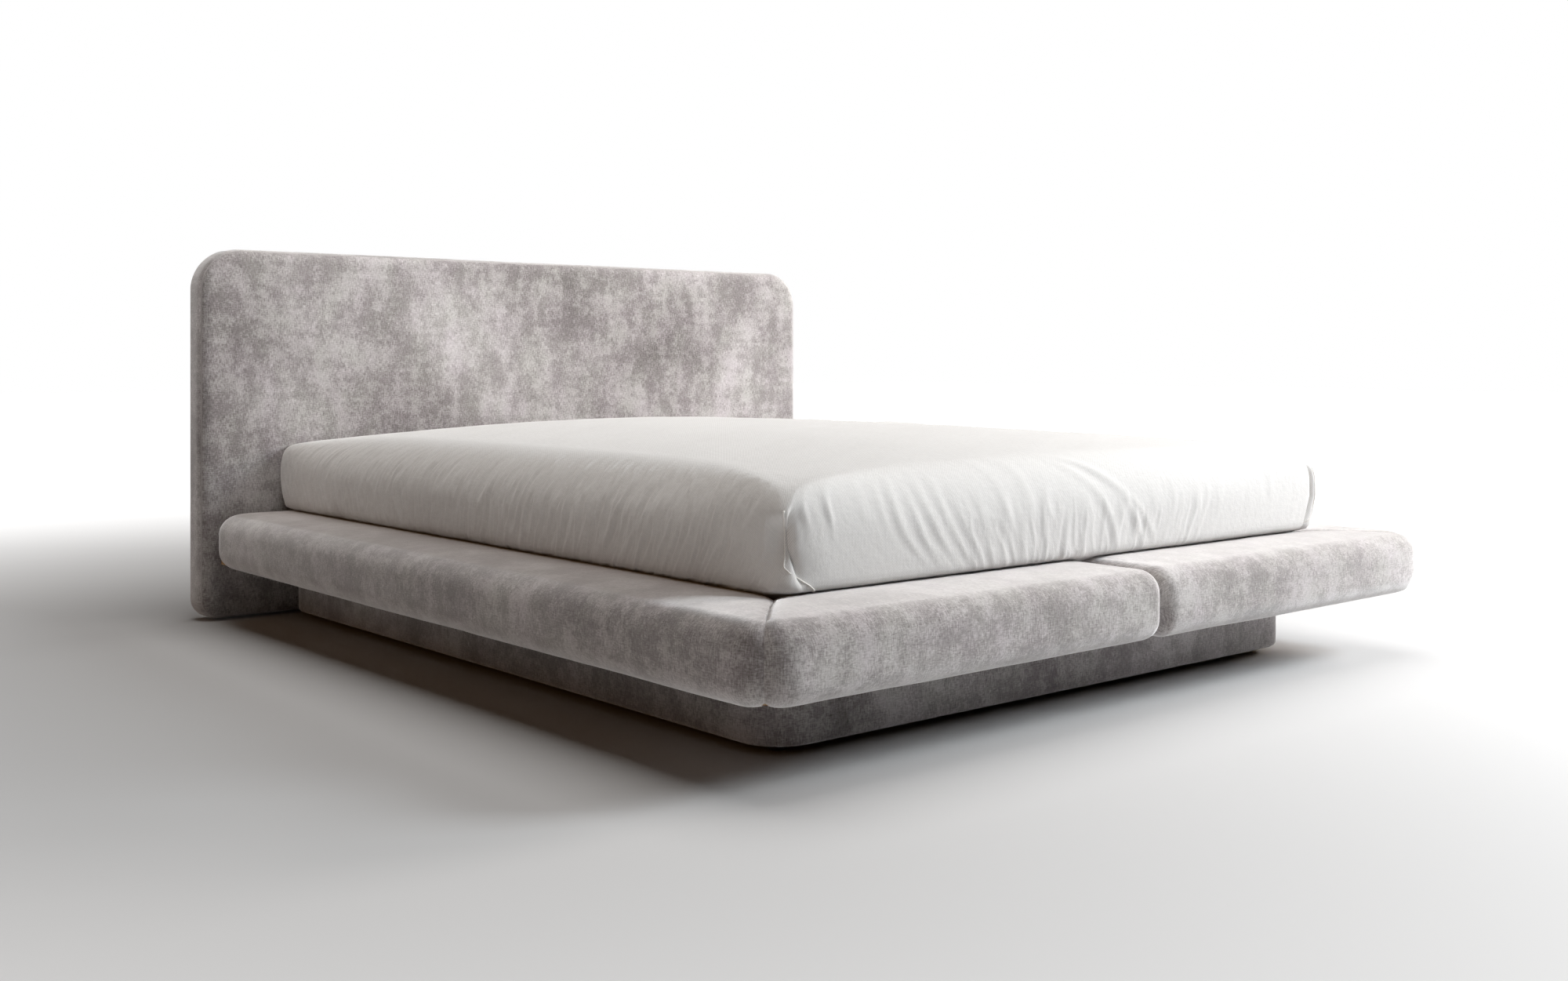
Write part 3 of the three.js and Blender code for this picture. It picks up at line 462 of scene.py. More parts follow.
def wood_material(name, along, colours, ring, constants, fleck=0.0):
    """Sawn and planed wood: growth rings drawn out along the piece's own length, with pores."""
    material, tree, shader = new_material(name, constants)
    place = object_place(tree)

    def drawn_out(long_way, short_way, detail, roughness):
        size = [mm(long_way) if axis == along else mm(short_way) for axis in "xyz"]
        return noise_of(tree, place, size, detail, roughness)

    bands = calculated(tree, "MULTIPLY", drawn_out(900, 26, 2.0, 0.5), ring)
    rings = calculated(tree, "PINGPONG", bands, 1.0)
    pores = drawn_out(40, 0.8, 2.0, 0.6)
    tone = mixed(tree, [(rings, 0.55), (pores, 0.45)])
    if fleck:
        rays = calculated(tree, "POWER", drawn_out(5, 1.1, 1.0, 0.5), 3.0)
        tone = calculated(tree, "MULTIPLY_ADD", rays, -fleck, tone)
    paint(tree, shader, tone, colours)
    bump(tree, shader, pores, mm(0.2), 0.35)
    return material


# Spruce plywood: a planed face with wide grain, and dark and pale layers on its cut edges.
def plywood_material():
    material, tree, shader = new_material("plywood_sanded", {"Roughness": 0.65})
    place = object_place(tree)
    layer = mm(1.5)
    up = add(tree, "ShaderNodeSeparateXYZ", {}, {0: place}).outputs["Z"]
    level = calculated(tree, "DIVIDE", calculated(tree, "PINGPONG", up, layer), layer)
    grain = noise_of(tree, place, (mm(4), mm(300), mm(4)), 3.0, 0.6)
    tone = mixed(tree, [(level, 0.35), (grain, 0.7)])
    paint(tree, shader, tone, [(0.15, "#8d6b45"), (0.5, "#b99468"), (0.85, "#d4b388")])
    bump(tree, shader, grain, mm(0.2), 0.3)
    return material


# Zinc-plated steel: bright, slightly cloudy from the passivated plating.
def zinc_material():
    material, tree, shader = new_material("steel_zinc_plated", {"Metallic": 1.0})
    place = object_place(tree)
    cloud = noise_of(tree, place, (mm(6), mm(6), mm(6)), 3.0, 0.6)
    paint(tree, shader, cloud, [(0.3, "#a9acb0"), (0.7, "#cfd0cc")])
    tree.links.new(ranged(tree, cloud, (0.0, 1.0), (0.22, 0.42)), shader.inputs["Roughness"])
    return material


# Polyethylene, injection moulded: black with a fine matt spark texture.
def glide_material():
    material, tree, shader = new_material("polyethylene_moulded", {"IOR": 1.51})
    place = object_place(tree)
    spark = noise_of(tree, place, (mm(0.8), mm(0.8), mm(0.8)), 2.0, 0.6)
    paint(tree, shader, spark, [(0.3, "#161617"), (0.7, "#262627")])
    tree.links.new(ranged(tree, spark, (0.0, 1.0), (0.45, 0.65)), shader.inputs["Roughness"])
    bump(tree, shader, spark, mm(0.08), 0.5)
    return material


# Polyester sewing thread: pale, with the twist of its plies.
def thread_material():
    material, tree, shader = new_material("polyester_thread_twisted",
                                          {"Roughness": 0.5, "Sheen Weight": 0.3})
    place = object_place(tree)
    plies = noise_of(tree, place, (mm(1.2), mm(1.2), mm(0.6)), 1.0, 0.5)
    paint(tree, shader, plies, [(0.3, "#dedad5"), (0.7, "#f6f4f1")])
    bump(tree, shader, plies, mm(0.2), 0.5)
    return material


velvet = velvet_material()
sheet_cotton = sheet_material()
ticking = ticking_material()
back_cloth = back_cloth_material()
plywood = plywood_material()
zinc = zinc_material()
glide_plastic = glide_material()
thread = thread_material()
PINE = [(0.1, "#a9824f"), (0.45, "#cba774"), (0.9, "#e2c796")]
BEECH = [(0.05, "#a97c4f"), (0.45, "#d0a878"), (0.9, "#e3c59b")]
pine_across, pine_along, pine_upright = [
    wood_material("pine_planed_" + way, axis, PINE, 9.0, {"Roughness": 0.62})
    for way, axis in (("across", "x"), ("along", "y"), ("upright", "z"))
]
beech_lacquered = wood_material("beech_lacquered", "x", BEECH, 7.0,
                                {"Roughness": 0.42, "Coat Weight": 0.35, "Coat Roughness": 0.3}, 1.6)


# Ledge: four padded covers. Each is drawn in its own plan, with u from its far end to the bed's
# corner and w from its outer face inwards, and the mitre cuts its corner end.

RAIL_HEIGHT = LEDGE_TOP - LEDGE_BOTTOM
PLAN_CORNER = mm(90)
OUTER_EDGE = mm(46)
INNER_EDGE = mm(7)
LEDGE_WAIST = mm(2.5)
LEDGE_CROWN_REACH = mm(98)
SEAM_DEPTH = mm(5.5)
SEAM_REACH = mm(11)
SUPPORT = mm(0.6)
LEAST_ROUND = mm(2)
RAIL_STEP = mm(14)
RAIL_LUMPS = ((mm(1.1), 0.21, 0), (mm(0.5), 0.07, 7))
MITRE_TURN_STEPS = 22
MITRE_LINE_STEPS = 18


def rail_plan(length, width, other_width, outer_round, inner_round, far_edge):
    """Lines that a rail's rings follow. recess and tip are the mitre's inner and outer ends."""
    recess = np.array([length - other_width, width])
    run = np.array([other_width, -width]) / math.hypot(width, other_width)
    centre = np.array([length - PLAN_CORNER, PLAN_CORNER])
    tip = centre + run * PLAN_CORNER
    along = (tip - recess) / np.linalg.norm(tip - recess)
    return {
        "length": length, "width": width, "recess": recess, "tip": tip, "along": along,
        "inward": np.array([along[1], -along[0]]), "outer_round": outer_round,
        "inner_round": inner_round, "far_edge": far_edge,
    }


def rail_ring(plan, outer, far, inner):
    """One level ring of a rail cover, drawn in by its own amount on each side."""
    far_outer = max(plan["outer_round"] - (outer + far) / 2, LEAST_ROUND)
    far_inner = max(plan["inner_round"] - (inner + far) / 2, LEAST_ROUND)
    start = arc((far + far_outer, outer + far_outer), far_outer, 180, 270, 12)
    corner = max(PLAN_CORNER - outer, LEAST_ROUND)
    centre = np.array([plan["length"] - outer - corner, outer + corner])
    recess = plan["recess"]
    to_centre = centre - recess
    middle = to_centre @ plan["along"]
    off = np.linalg.norm(to_centre - plan["along"] * middle)
    tip = recess + plan["along"] * (middle + math.sqrt(max(corner**2 - off**2, 0)))
    inner_w = plan["width"] - inner
    back = recess + plan["along"] * ((inner_w - recess[1]) / plan["along"][1])
    tip_angle = math.degrees(math.atan2(*(tip - centre)[::-1])) % 360
    support = math.degrees(min(SUPPORT, corner / 4) / corner)
    shares = np.append(crowded(MITRE_TURN_STEPS, 1.8), 1.0)
    turn_angles = np.radians(270 + (tip_angle - support - 270) * shares)
    turn = centre + corner * np.stack([np.cos(turn_angles), np.sin(turn_angles)], 1)
    line_steps = int(plan["length"] / RAIL_STEP)
    outer_line = between(start[-1], centre + [0, -corner], np.append(crowded(line_steps, 1.25), 1.0))
    reach = np.linalg.norm(back - tip)
    near = min(SUPPORT / reach, 0.2)
    seam_shares = np.concatenate([[0, near], both_crowded(MITRE_LINE_STEPS), [1 - near, 1]])
    seam_line = between(tip, back, seam_shares)
    end = arc((far + far_inner, inner_w - far_inner), far_inner, 90, 180, 8)
    inner_shares = 1 - crowded(line_steps + 20, 1.6)[::-1]
    return np.concatenate([start, outer_line, turn, seam_line, between(back, end[0], inner_shares), end])


def rounding(edge, depth):
    """How far a rounded edge stands back at a depth from its flat face."""
    short = max(edge - depth, 0)
    return edge - math.sqrt(edge * edge - short * short)


def rail_levels(plan):
    """Rings from the underside up the faces to the top: (height, insets)."""
    rises = [OUTER_EDGE * rise for rise, _ in quarter_turn(11)]
    heights = rises + [OUTER_EDGE + (RAIL_HEIGHT - 2 * OUTER_EDGE) * k / 4 for k in (1, 2, 3)]
    heights += [RAIL_HEIGHT - rise for rise in reversed(rises)]
    levels = []
    for h in heights:
        depth = min(h, RAIL_HEIGHT - h)
        waist = LEDGE_WAIST * (2 * h / RAIL_HEIGHT - 1) ** 2
        edges = (OUTER_EDGE, plan["far_edge"], INNER_EDGE)
        levels.append((h, [rounding(edge, depth) + waist for edge in edges]))
    return levels


def seam_rows(plan):
    """Points in rows beside the mitre, where the cover rolls in."""
    length = np.linalg.norm(plan["tip"] - plan["recess"])
    steps = np.arange(mm(3), length, mm(5))
    rows = [mm(v) for v in (1.4, 3, 5, 8, 12, 17, 24)]
    line = plan["recess"] + plan["along"] * steps[:, None]
    return np.concatenate([line + plan["inward"] * row for row in rows])


def crown_height(plan, place, insets):
    """Height of a cover's top, which swells towards its middle line."""
    outer, far, inner = insets
    to_edge = np.min([place[:, 1] - outer, plan["width"] - inner - place[:, 1], place[:, 0] - far], 0)
    share = np.clip(to_edge / LEDGE_CROWN_REACH, 0, 1)
    return RAIL_HEIGHT + LEDGE_CROWN * (1 - (1 - share) ** 2)


def nap_place(plan, p, seed):
    """Place on the unrolled cover: along the outer face, moved by seed, and up it and across the top."""
    centre_u, centre_w = plan["length"] - PLAN_CORNER, PLAN_CORNER
    along, depth, up = p
    if along > centre_u and depth < centre_w:
        past, before = along - centre_u, centre_w - depth
        depth = PLAN_CORNER - math.hypot(past, before)
        along = centre_u + PLAN_CORNER * math.atan2(past, before)
    return (along + seed, up + depth if up > RAIL_HEIGHT / 2 else up - depth)


def rail_cover(name, plan, to_world, seed):
    levels = rail_levels(plan)
    rings = [rail_ring(plan, *insets) for _, insets in levels]
    count = len(rings[0])
    heights = np.repeat([h for h, _ in levels], count)
    local = np.column_stack([np.concatenate(rings), heights])
    faces = ring_faces(len(rings), count)
    faces += lid_faces(local[:count], 0, (0, 1))
    top, top_faces = filled(rings[-1], RAIL_STEP, RAIL_STEP * 0.4, seam_rows(plan))
    faces += offset_faces(top_faces, len(local) - count, count, len(local))
    local = np.concatenate([local, np.column_stack([top, crown_height(plan, top, levels[-1][1])])])
    mesh = new_mesh(name, local, faces)
    turn_outwards(mesh)
    local = points_of(mesh)
    lay_map(mesh, "nap", [nap_place(plan, p, seed) for p in local])
    from_seam = (local[:, :2] - plan["recess"]) @ plan["inward"]
    lumps = sum(height * swell(local, size, seed + shift) for height, size, shift in RAIL_LUMPS)
    push_along_normals(mesh, lumps * smooth(from_seam, 0, mm(60)))
    local = points_of(mesh)
    roll = SEAM_DEPTH * np.exp(-np.maximum(from_seam, 0) / SEAM_REACH)
    half_line = np.linalg.norm(plan["tip"] - plan["recess"]) / 2
    line_share = ((local[:, :2] - plan["recess"]) @ plan["along"]) / half_line - 1
    local[:, :2] -= plan["along"] * (roll * line_share)[:, None]
    local[:, 2] -= roll * (2 * local[:, 2] / RAIL_HEIGHT - 1)
    move_points(mesh, to_world(local))
    turn_outwards(mesh, 0)
    piece = make_piece(name, mesh, velvet, FRAME_BODY)
    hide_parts(name)
    return piece


side_plan = rail_plan(RAIL_BACK - FOOT_FACE, SIDE_RAIL_WIDTH, FOOT_RAIL_WIDTH, mm(105), mm(26), OUTER_EDGE)
foot_plan = rail_plan(LEDGE_OUTER - SPLIT, FOOT_RAIL_WIDTH, SIDE_RAIL_WIDTH, mm(36), mm(22), mm(36))


def side_rail_world(hand):
    return lambda p: np.column_stack([
        hand * (LEDGE_OUTER - p[:, 1]), RAIL_BACK - p[:, 0], LEDGE_BOTTOM + p[:, 2],
    ])


def foot_rail_world(hand):
    return lambda p: np.column_stack([
        hand * (SPLIT + p[:, 0]), FOOT_FACE + p[:, 1], LEDGE_BOTTOM + p[:, 2],
    ])


# Each cover's seed moves its velvet pattern and places its lumps; the seeds were chosen so that the broad
# dark clouds fall where the cover lies in shade, which is painted shade.
for hand, side in ((-1, "left"), (1, "right")):
    rail_cover("side_rail_cover_" + side, side_plan, side_rail_world(hand), 81.6 + 5 * hand)
    rail_cover("foot_rail_cover_" + side, foot_plan, foot_rail_world(hand), 64.9 + 1.3 * hand)


# Plinth: three padded bands with a soft lower edge

PLINTH_SIDE = -plinth_low.x
PLINTH_FOOT = plinth_foot_low.y
PLINTH_BACK = plinth_high.y
PLINTH_BOTTOM = plinth_low.z
PLINTH_TOP = plinth_high.z
PLINTH_CORNER = mm(88)
PLINTH_COVER = mm(15)
PLINTH_SOFT_EDGE = mm(12)
PLINTH_GAP = mm(0.4)
PLINTH_WRAP = mm(40)
PLINTH_SEAM_DEPTH = mm(2.5)
PLINTH_SEAM_REACH = mm(7)
PLINTH_TURN_STEPS = 26


def side_path(hand):
    """Plan points and outward directions of a side cover, from the foot corner's seam to the back."""
    centre_x = hand * (PLINTH_SIDE - PLINTH_CORNER)
    foot_y = PLINTH_FOOT + PLINTH_CORNER
    back_y = PLINTH_BACK - PLINTH_CORNER
    path = []
    for share in np.linspace(0, 1, PLINTH_TURN_STEPS):
        angle = math.radians(45 * (1 - share))
        path.append(((centre_x, foot_y), (hand * math.cos(angle), -math.sin(angle))))
    for y in np.linspace(foot_y, back_y, 130)[1:]:
        path.append(((centre_x, y), (hand, 0.0)))
    for angle in np.radians(np.linspace(0, 90, 16))[1:]:
        path.append(((centre_x, back_y), (hand * math.cos(angle), math.sin(angle))))
    path.append(((centre_x - hand * PLINTH_WRAP, back_y), (0.0, 1.0)))
    return path


def foot_path():
    """The same for the foot cover, from its left seam to its right one."""
    reach = PLINTH_SIDE - PLINTH_CORNER
    foot_y = PLINTH_FOOT + PLINTH_CORNER
    in_turn = np.radians(np.linspace(45, 0, PLINTH_TURN_STEPS))
    out_turn = np.radians(np.linspace(0, 45, PLINTH_TURN_STEPS))
    left = [((-reach, foot_y), (-math.sin(a), -math.cos(a))) for a in in_turn]
    middle = [((x, foot_y), (0.0, -1.0)) for x in np.linspace(-reach, reach, 110)[1:-1]]
    right = [((reach, foot_y), (math.sin(a), -math.cos(a))) for a in out_turn]
    return left + middle + right


def plinth_section():
    """Closed section as (distance from the corner's axis, height)."""
    outer = PLINTH_CORNER
    inner = PLINTH_CORNER - PLINTH_COVER + PLINTH_GAP
    section = [(inner, PLINTH_TOP), (inner, PLINTH_BOTTOM)]
    section += [(outer - PLINTH_SOFT_EDGE * inset, PLINTH_BOTTOM + PLINTH_SOFT_EDGE * rise)
                for rise, inset in quarter_turn(8)]
    rise = PLINTH_TOP - PLINTH_BOTTOM - PLINTH_SOFT_EDGE
    section += [(outer, PLINTH_BOTTOM + PLINTH_SOFT_EDGE + rise * k / 7) for k in range(1, 8)]
    return section


def plinth_cover(name, path, seams, seed):
    section = plinth_section()
    run = [0.0]
    for (c0, d0), (c1, d1) in zip(path, path[1:]):
        first = np.add(c0, np.multiply(d0, PLINTH_CORNER))
        run.append(run[-1] + float(np.linalg.norm(np.add(c1, np.multiply(d1, PLINTH_CORNER)) - first)))
    points, across = [], []
    for (centre, out), s in zip(path, run):
        from_seam = min([abs(s - run[end]) for end in seams] + [1.0])
        roll = PLINTH_SEAM_DEPTH * math.exp(-from_seam / PLINTH_SEAM_REACH)
        for distance, z in section:
            outside = distance > PLINTH_CORNER - PLINTH_COVER / 2
            d = distance - (roll if outside else 0)
            points.append((centre[0] + out[0] * d, centre[1] + out[1] * d, z))
            across.append(s)
    count = len(section)
    faces = ring_faces(len(path), count)
    faces.append(list(range(count)))
    faces.append(list(range(len(points) - count, len(points))))
    mesh = new_mesh(name, points, faces)
    lay_map(mesh, "nap", [(s + seed, p[2]) for s, p in zip(across, points)])
    turn_outwards(mesh, 0)
    piece = make_piece(name, mesh, velvet, FRAME_BODY)
    mesh.set_sharp_from_angle(angle=math.radians(60))
    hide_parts(name)
    return piece


# The seeds move each band's velvet pattern, chosen so that its broad dark clouds fall where the band lies
# in shade: painted shade.
plinth_cover("plinth_cover_left", side_path(-1), [0], 106.7)
plinth_cover("plinth_cover_right", side_path(1), [0], 57.8)
plinth_cover("plinth_cover_foot", foot_path(), [0, -1], 85.3)


# Headboard: a padded slab whose cover is turned over the back edge of its board

HEADBOARD_EDGE = mm(34)
HEADBOARD_BACK_EDGE = mm(18)
HEADBOARD_CROWN = mm(3)
HEADBOARD_CROWN_REACH = mm(260)
HEADBOARD_STEP = mm(18)
# The seed moves the headboard's velvet pattern, chosen so that its broad dark clouds fall where the
# headboard lies in shade: painted shade.
HEADBOARD_SEED = 134.8
HEADBOARD_LUMPS = ((mm(1.0), 0.30, 3.1), (mm(0.5), 0.11, 9.4))
HEADBOARD_FLAT_BACK = (mm(20), mm(70))
HEADBOARD_TOP_CORNER = mm(108)
HEADBOARD_BOTTOM_CORNER = mm(52)
HEADBOARD_HALF = board_high.x
HEADBOARD_THICKNESS = board_high.y - board_low.y
BACK_FACE = board_high.y


def slab_ring(inset):
    """Rounded outline of the headboard in X and Z, drawn in all round, with its outward directions."""
    low, high = board_low.z + inset, board_high.z - inset
    side = HEADBOARD_HALF - inset
    bottom = max(HEADBOARD_BOTTOM_CORNER - inset, LEAST_ROUND)
    top = max(HEADBOARD_TOP_CORNER - inset, LEAST_ROUND)
    corners = [
        ((-side + bottom, low + bottom), bottom, 180, 14, 120),
        ((side - bottom, low + bottom), bottom, 270, 14, 50),
        ((side - top, high - top), top, 0, 22, 120),
        ((-side + top, high - top), top, 90, 22, 50),
    ]
    points, ways = [], []
    for i, (centre, radius, start, steps, line_steps) in enumerate(corners):
        points += arc(centre, radius, start, start + 90, steps).tolist()
        ways += arc((0, 0), 1, start, start + 90, steps).tolist()
        following, next_radius, next_start = corners[(i + 1) % 4][:3]
        target = arc(following, next_radius, next_start, next_start, 1)[0]
        points += between(points[-1], target, both_crowded(line_steps, 1.3)).tolist()
        ways += [ways[-1]] * (line_steps - 1)
    return np.array(points), np.array(ways)


def headboard_levels():
    """(distance in front of the back face, inset), from the back opening round the edge to the front."""
    wrap = inner_board_high.y
    depth = BACK_FACE - wrap
    flange = HEADBOARD_HALF - panel_high.x - mm(1)
    side_room = HEADBOARD_HALF - inner_board_high.x - mm(0.4)
    front_room = BACK_FACE - inner_board_low.y + mm(0.4)
    levels = [(front_room, mm(320)), (front_room, side_room), (depth - mm(0.4), side_room),
              (depth - mm(0.4), flange), (0.0, flange)]
    levels += [(HEADBOARD_BACK_EDGE * out, HEADBOARD_BACK_EDGE * inset) for out, inset in quarter_turn(8)]
    thick = HEADBOARD_THICKNESS - HEADBOARD_CROWN
    levels.append((thick / 2, 0.0))
    return levels + [(thick - HEADBOARD_EDGE * back, HEADBOARD_EDGE * inset)
                     for inset, back in quarter_turn(12)]


def front_height(place):
    """How far the headboard's front stands from its back face: it swells towards the middle."""
    to_side = HEADBOARD_HALF - np.abs(place[:, 0])
    to_edge = np.min([to_side, place[:, 1] - board_low.z, board_high.z - place[:, 1]], 0)
    share = np.clip((to_edge - HEADBOARD_EDGE) / HEADBOARD_CROWN_REACH, 0, 1)
    return HEADBOARD_THICKNESS - HEADBOARD_CROWN * (1 - share) ** 2


def headboard_cover():
    levels = headboard_levels()
    points, map_points = [], []
    travelled = 0.0
    for i, (out, inset) in enumerate(levels):
        ring, ways = slab_ring(inset)
        if i:
            travelled += math.hypot(out - levels[i - 1][0], inset - levels[i - 1][1])
        points += [(x, BACK_FACE - out, z) for x, z in ring]
        map_points += (slab_ring(0)[0] - ways * travelled).tolist()
    count = len(ring)
    faces = ring_faces(len(levels), count)
    front, front_faces = filled(ring, HEADBOARD_STEP, HEADBOARD_STEP * 0.4)
    faces += lid_faces(np.array(points)[:count], 0, (0, 2))
    faces += offset_faces(front_faces, len(points) - count, count, len(points))
    points += [(x, BACK_FACE - out, z) for (x, z), out in zip(front, front_height(front))]
    mesh = new_mesh("headboard_cover", points, faces)
    in_front = BACK_FACE - HEADBOARD_THICKNESS + HEADBOARD_EDGE / 2
    flat = [(x, z) if y < in_front else map_points[i] for i, (x, y, z) in enumerate(points)]
    lay_map(mesh, "nap", [(u + HEADBOARD_SEED, v) for u, v in flat])
    turn_outwards(mesh, 0)
    local = points_of(mesh)
    lumps = sum(height * swell(local, size, seed) for height, size, seed in HEADBOARD_LUMPS)
    push_along_normals(mesh, lumps * smooth(BACK_FACE - local[:, 1], *HEADBOARD_FLAT_BACK))
    piece = make_piece("headboard_cover", mesh, velvet, FRAME_BODY)
    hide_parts("headboard_cover")
    return piece


headboard_cover()


# Mattress: a pillow form, drawn in rings from the underside to the middle of the top. Its left
# shoulder is the rounder one, as in the photograph, and each foot corner is pulled down and pinched.

LEDGE_LINE = LEDGE_TOP
MATTRESS_BOTTOM = sheet_low.z
MATTRESS_WIDEST = mm(362)
MATTRESS_EDGE_TOP = mm(474)
MATTRESS_CROWN = mm(45)
CROWN_POWERS = (2.05, 3.9)
MATTRESS_HALF = sheet_high.x
MATTRESS_FOOT = sheet_low.y
MATTRESS_HEAD = sheet_high.y
FOOT_BULGE = mm(42)
SIDE_BULGE = mm(24)
HEAD_BULGE = mm(8)
SHOULDER = mm(104)
HEAD_SHOULDER = mm(60)
LEFT_SHOULDER = mm(140)
SHOULDER_POWER = 2.15
UNDERCUT_POWER = 18
TUCK_SLOPE = 0.9
UNDERSIDE_ROUND = mm(45)
EDGE_ROUND = mm(60)
FOOT_PULL = mm(46)
FOOT_PULL_REACH = mm(50)
HEAD_PULL = mm(27)
HEAD_PULL_REACH = mm(234)
PINCH = 0.5
PINCH_REACH = mm(115)
PINCH_POWER = 1.3
CORNER_POWER = 3.0
CORNER_STEPS = 8
CORE_SHRINK = mm(5.5)
CORE_CORNER = mm(110)
CORE_COLUMNS = (110, 140, 110, 140)
SHEET_COLUMNS = (520, 240, 120, 680)
SHEET_ROWS_LOW = 13
SHEET_ROWS_HIGH = 24
SHEET_TURN_UNDER = mm(110)
SHEET_CORNER = mm(12)
SHEET_HEM_CORNER = mm(57)
SHEET_TOP_STEP = mm(13)
SHEET_LINING = mm(3.2)
SHEET_LINING_STEP = mm(45)
COARSER = 4  # The lining has one column and one row for each four of the cloth.
SHOULDERS = (SHOULDER, SHOULDER, HEAD_SHOULDER, LEFT_SHOULDER)


def top_height(x, y):
    """Height of the mattress's top above the floor at a place in plan."""
    across = np.abs(x) / MATTRESS_HALF
    middle = (MATTRESS_FOOT + MATTRESS_HEAD) / 2
    lengthways = np.abs(y - middle) / ((MATTRESS_HEAD - MATTRESS_FOOT) / 2)
    crown = MATTRESS_CROWN * (1 - across ** CROWN_POWERS[0]) * (1 - lengthways ** CROWN_POWERS[1])
    to_side = MATTRESS_HALF - np.abs(x)
    to_foot = np.hypot(to_side, y - MATTRESS_FOOT)
    to_head = np.hypot(to_side, MATTRESS_HEAD - y)
    foot_pull = FOOT_PULL * np.exp(-to_foot / FOOT_PULL_REACH)
    return MATTRESS_EDGE_TOP + crown - foot_pull - HEAD_PULL * np.exp(-to_head / HEAD_PULL_REACH)


def pillow_ring(insets, corner, columns):
    """One ring, anticlockwise from the foot's left corner. insets and columns have one value for
    each side, in the order foot, right, head, left."""
    foot, right, head, left = insets
    x0, x1 = -MATTRESS_HALF + left, MATTRESS_HALF - right
    y0, y1 = MATTRESS_FOOT + foot, MATTRESS_HEAD - head
    arcs = []
    for k, (x, y) in enumerate(((x0, y0), (x1, y0), (x1, y1), (x0, y1))):
        centre = (x + corner * (1 if x < 0 else -1), y + corner * (1 if y < 0 else -1))
        arcs.append(arc(centre, corner, 180 + 90 * k, 270 + 90 * k, CORNER_STEPS))
    points = []
    for i in range(4):
        points.append(arcs[i])
        points.append(between(arcs[i][-1], arcs[(i + 1) % 4][0], both_crowded(columns[i], 1.2)))
    return np.concatenate(points)


def lower_insets(z):
    """How far each side stands back at or below its widest line."""
    def side(bulge):
        if z < LEDGE_LINE:
            return bulge + (LEDGE_LINE - z) * TUCK_SLOPE
        return bulge * ((MATTRESS_WIDEST - z) / (MATTRESS_WIDEST - LEDGE_LINE)) ** UNDERCUT_POWER
    return [side(FOOT_BULGE), side(SIDE_BULGE), side(HEAD_BULGE), side(SIDE_BULGE)]


def pillow_rings(shrink, corner, columns, rows_low, rows_high):
    """Rings from the underside's edge up to the start of the top. corner is their tightest round."""
    rings = []
    for k in range(rows_low + 1):
        share = k / rows_low
        z = MATTRESS_BOTTOM + (MATTRESS_WIDEST - MATTRESS_BOTTOM) * share
        tight = corner + UNDERSIDE_ROUND * (1 - share)
        ring = pillow_ring([inset + shrink for inset in lower_insets(z)], tight, columns)
        rings.append(np.column_stack([ring, np.full(len(ring), max(z, MATTRESS_BOTTOM + shrink))]))
    widest = rings[-1][:, :2]
    edge = pillow_ring([s + shrink for s in SHOULDERS], max(corner, EDGE_ROUND), columns)
    corners = [(x, y) for x in (-MATTRESS_HALF, MATTRESS_HALF) for y in (MATTRESS_FOOT, MATTRESS_HEAD)]
    from_corner = np.min([np.hypot(widest[:, 0] - x, widest[:, 1] - y) for x, y in corners], 0)
    near_corner = np.exp(-((from_corner / PINCH_REACH) ** PINCH_POWER))
    edge = widest + (edge - widest) * (1 - PINCH * near_corner)[:, None]
    power = SHOULDER_POWER + CORNER_POWER * near_corner
    for k in range(1, rows_high + 1):
        angle = math.radians(90 * k / rows_high)
        out = 1 - max(math.cos(angle), 0) ** (2 / power)
        up = math.sin(angle) ** (2 / power)
        place = widest + (edge - widest) * out[:, None]
        height = top_height(place[:, 0], place[:, 1]) - shrink
        rings.append(np.column_stack([place, MATTRESS_WIDEST + (height - MATTRESS_WIDEST) * up]))
    return rings


def topped(rings, spacing, raise_top):
    """Points and faces of rings, with a grid over the last one. raise_top takes x and y."""
    count = len(rings[0])
    points = np.concatenate(rings)
    faces = ring_faces(len(rings), count)
    top, top_faces = filled(rings[-1][:, :2], spacing, spacing * 0.4)
    faces += offset_faces(top_faces, len(points) - count, count, len(points))
    top = np.column_stack([top, raise_top(top[:, 0], top[:, 1])])
    return np.concatenate([points, top]), faces


def mattress_core():
    rings = pillow_rings(CORE_SHRINK, CORE_CORNER, CORE_COLUMNS, 8, 9)
    points, faces = topped(rings, mm(40), lambda x, y: top_height(x, y) - CORE_SHRINK)
    faces += lid_faces(rings[0], 0, (0, 1))
    mesh = new_mesh("mattress_core", points, faces)
    turn_outwards(mesh, 0)
    piece = make_piece("mattress_core", mesh, ticking, MATTRESS_BODY)
    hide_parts("mattress_core")
    return piece


# Fitted sheet: the pillow form again, with folds that stand out from it. Along a side, places are
# measured from its left corner as one faces it from outside, and the drop is measured down the
# cloth from where the shoulder starts. Single folds run on paths of their own, and a ridged noise
# drawn out down the sides gives the many small ones. SIDE_DROP is the drop where a fold's lower
# end is given.

SIDE_DROP = mm(270)
HOOK_REACH = mm(60)
HOOK_START = -mm(40)
FOLD_FADE = mm(26)
FOLD_DEPTH = 0.7
FOLD_SPREAD = 1.6
FOLD_HOLLOW = 0.35
FOLD_WANDER = mm(7)


def hooked(drop):
    """How strongly a fold's top bends sideways on the shoulder."""
    return np.exp(-np.maximum(drop, HOOK_START) / HOOK_REACH)


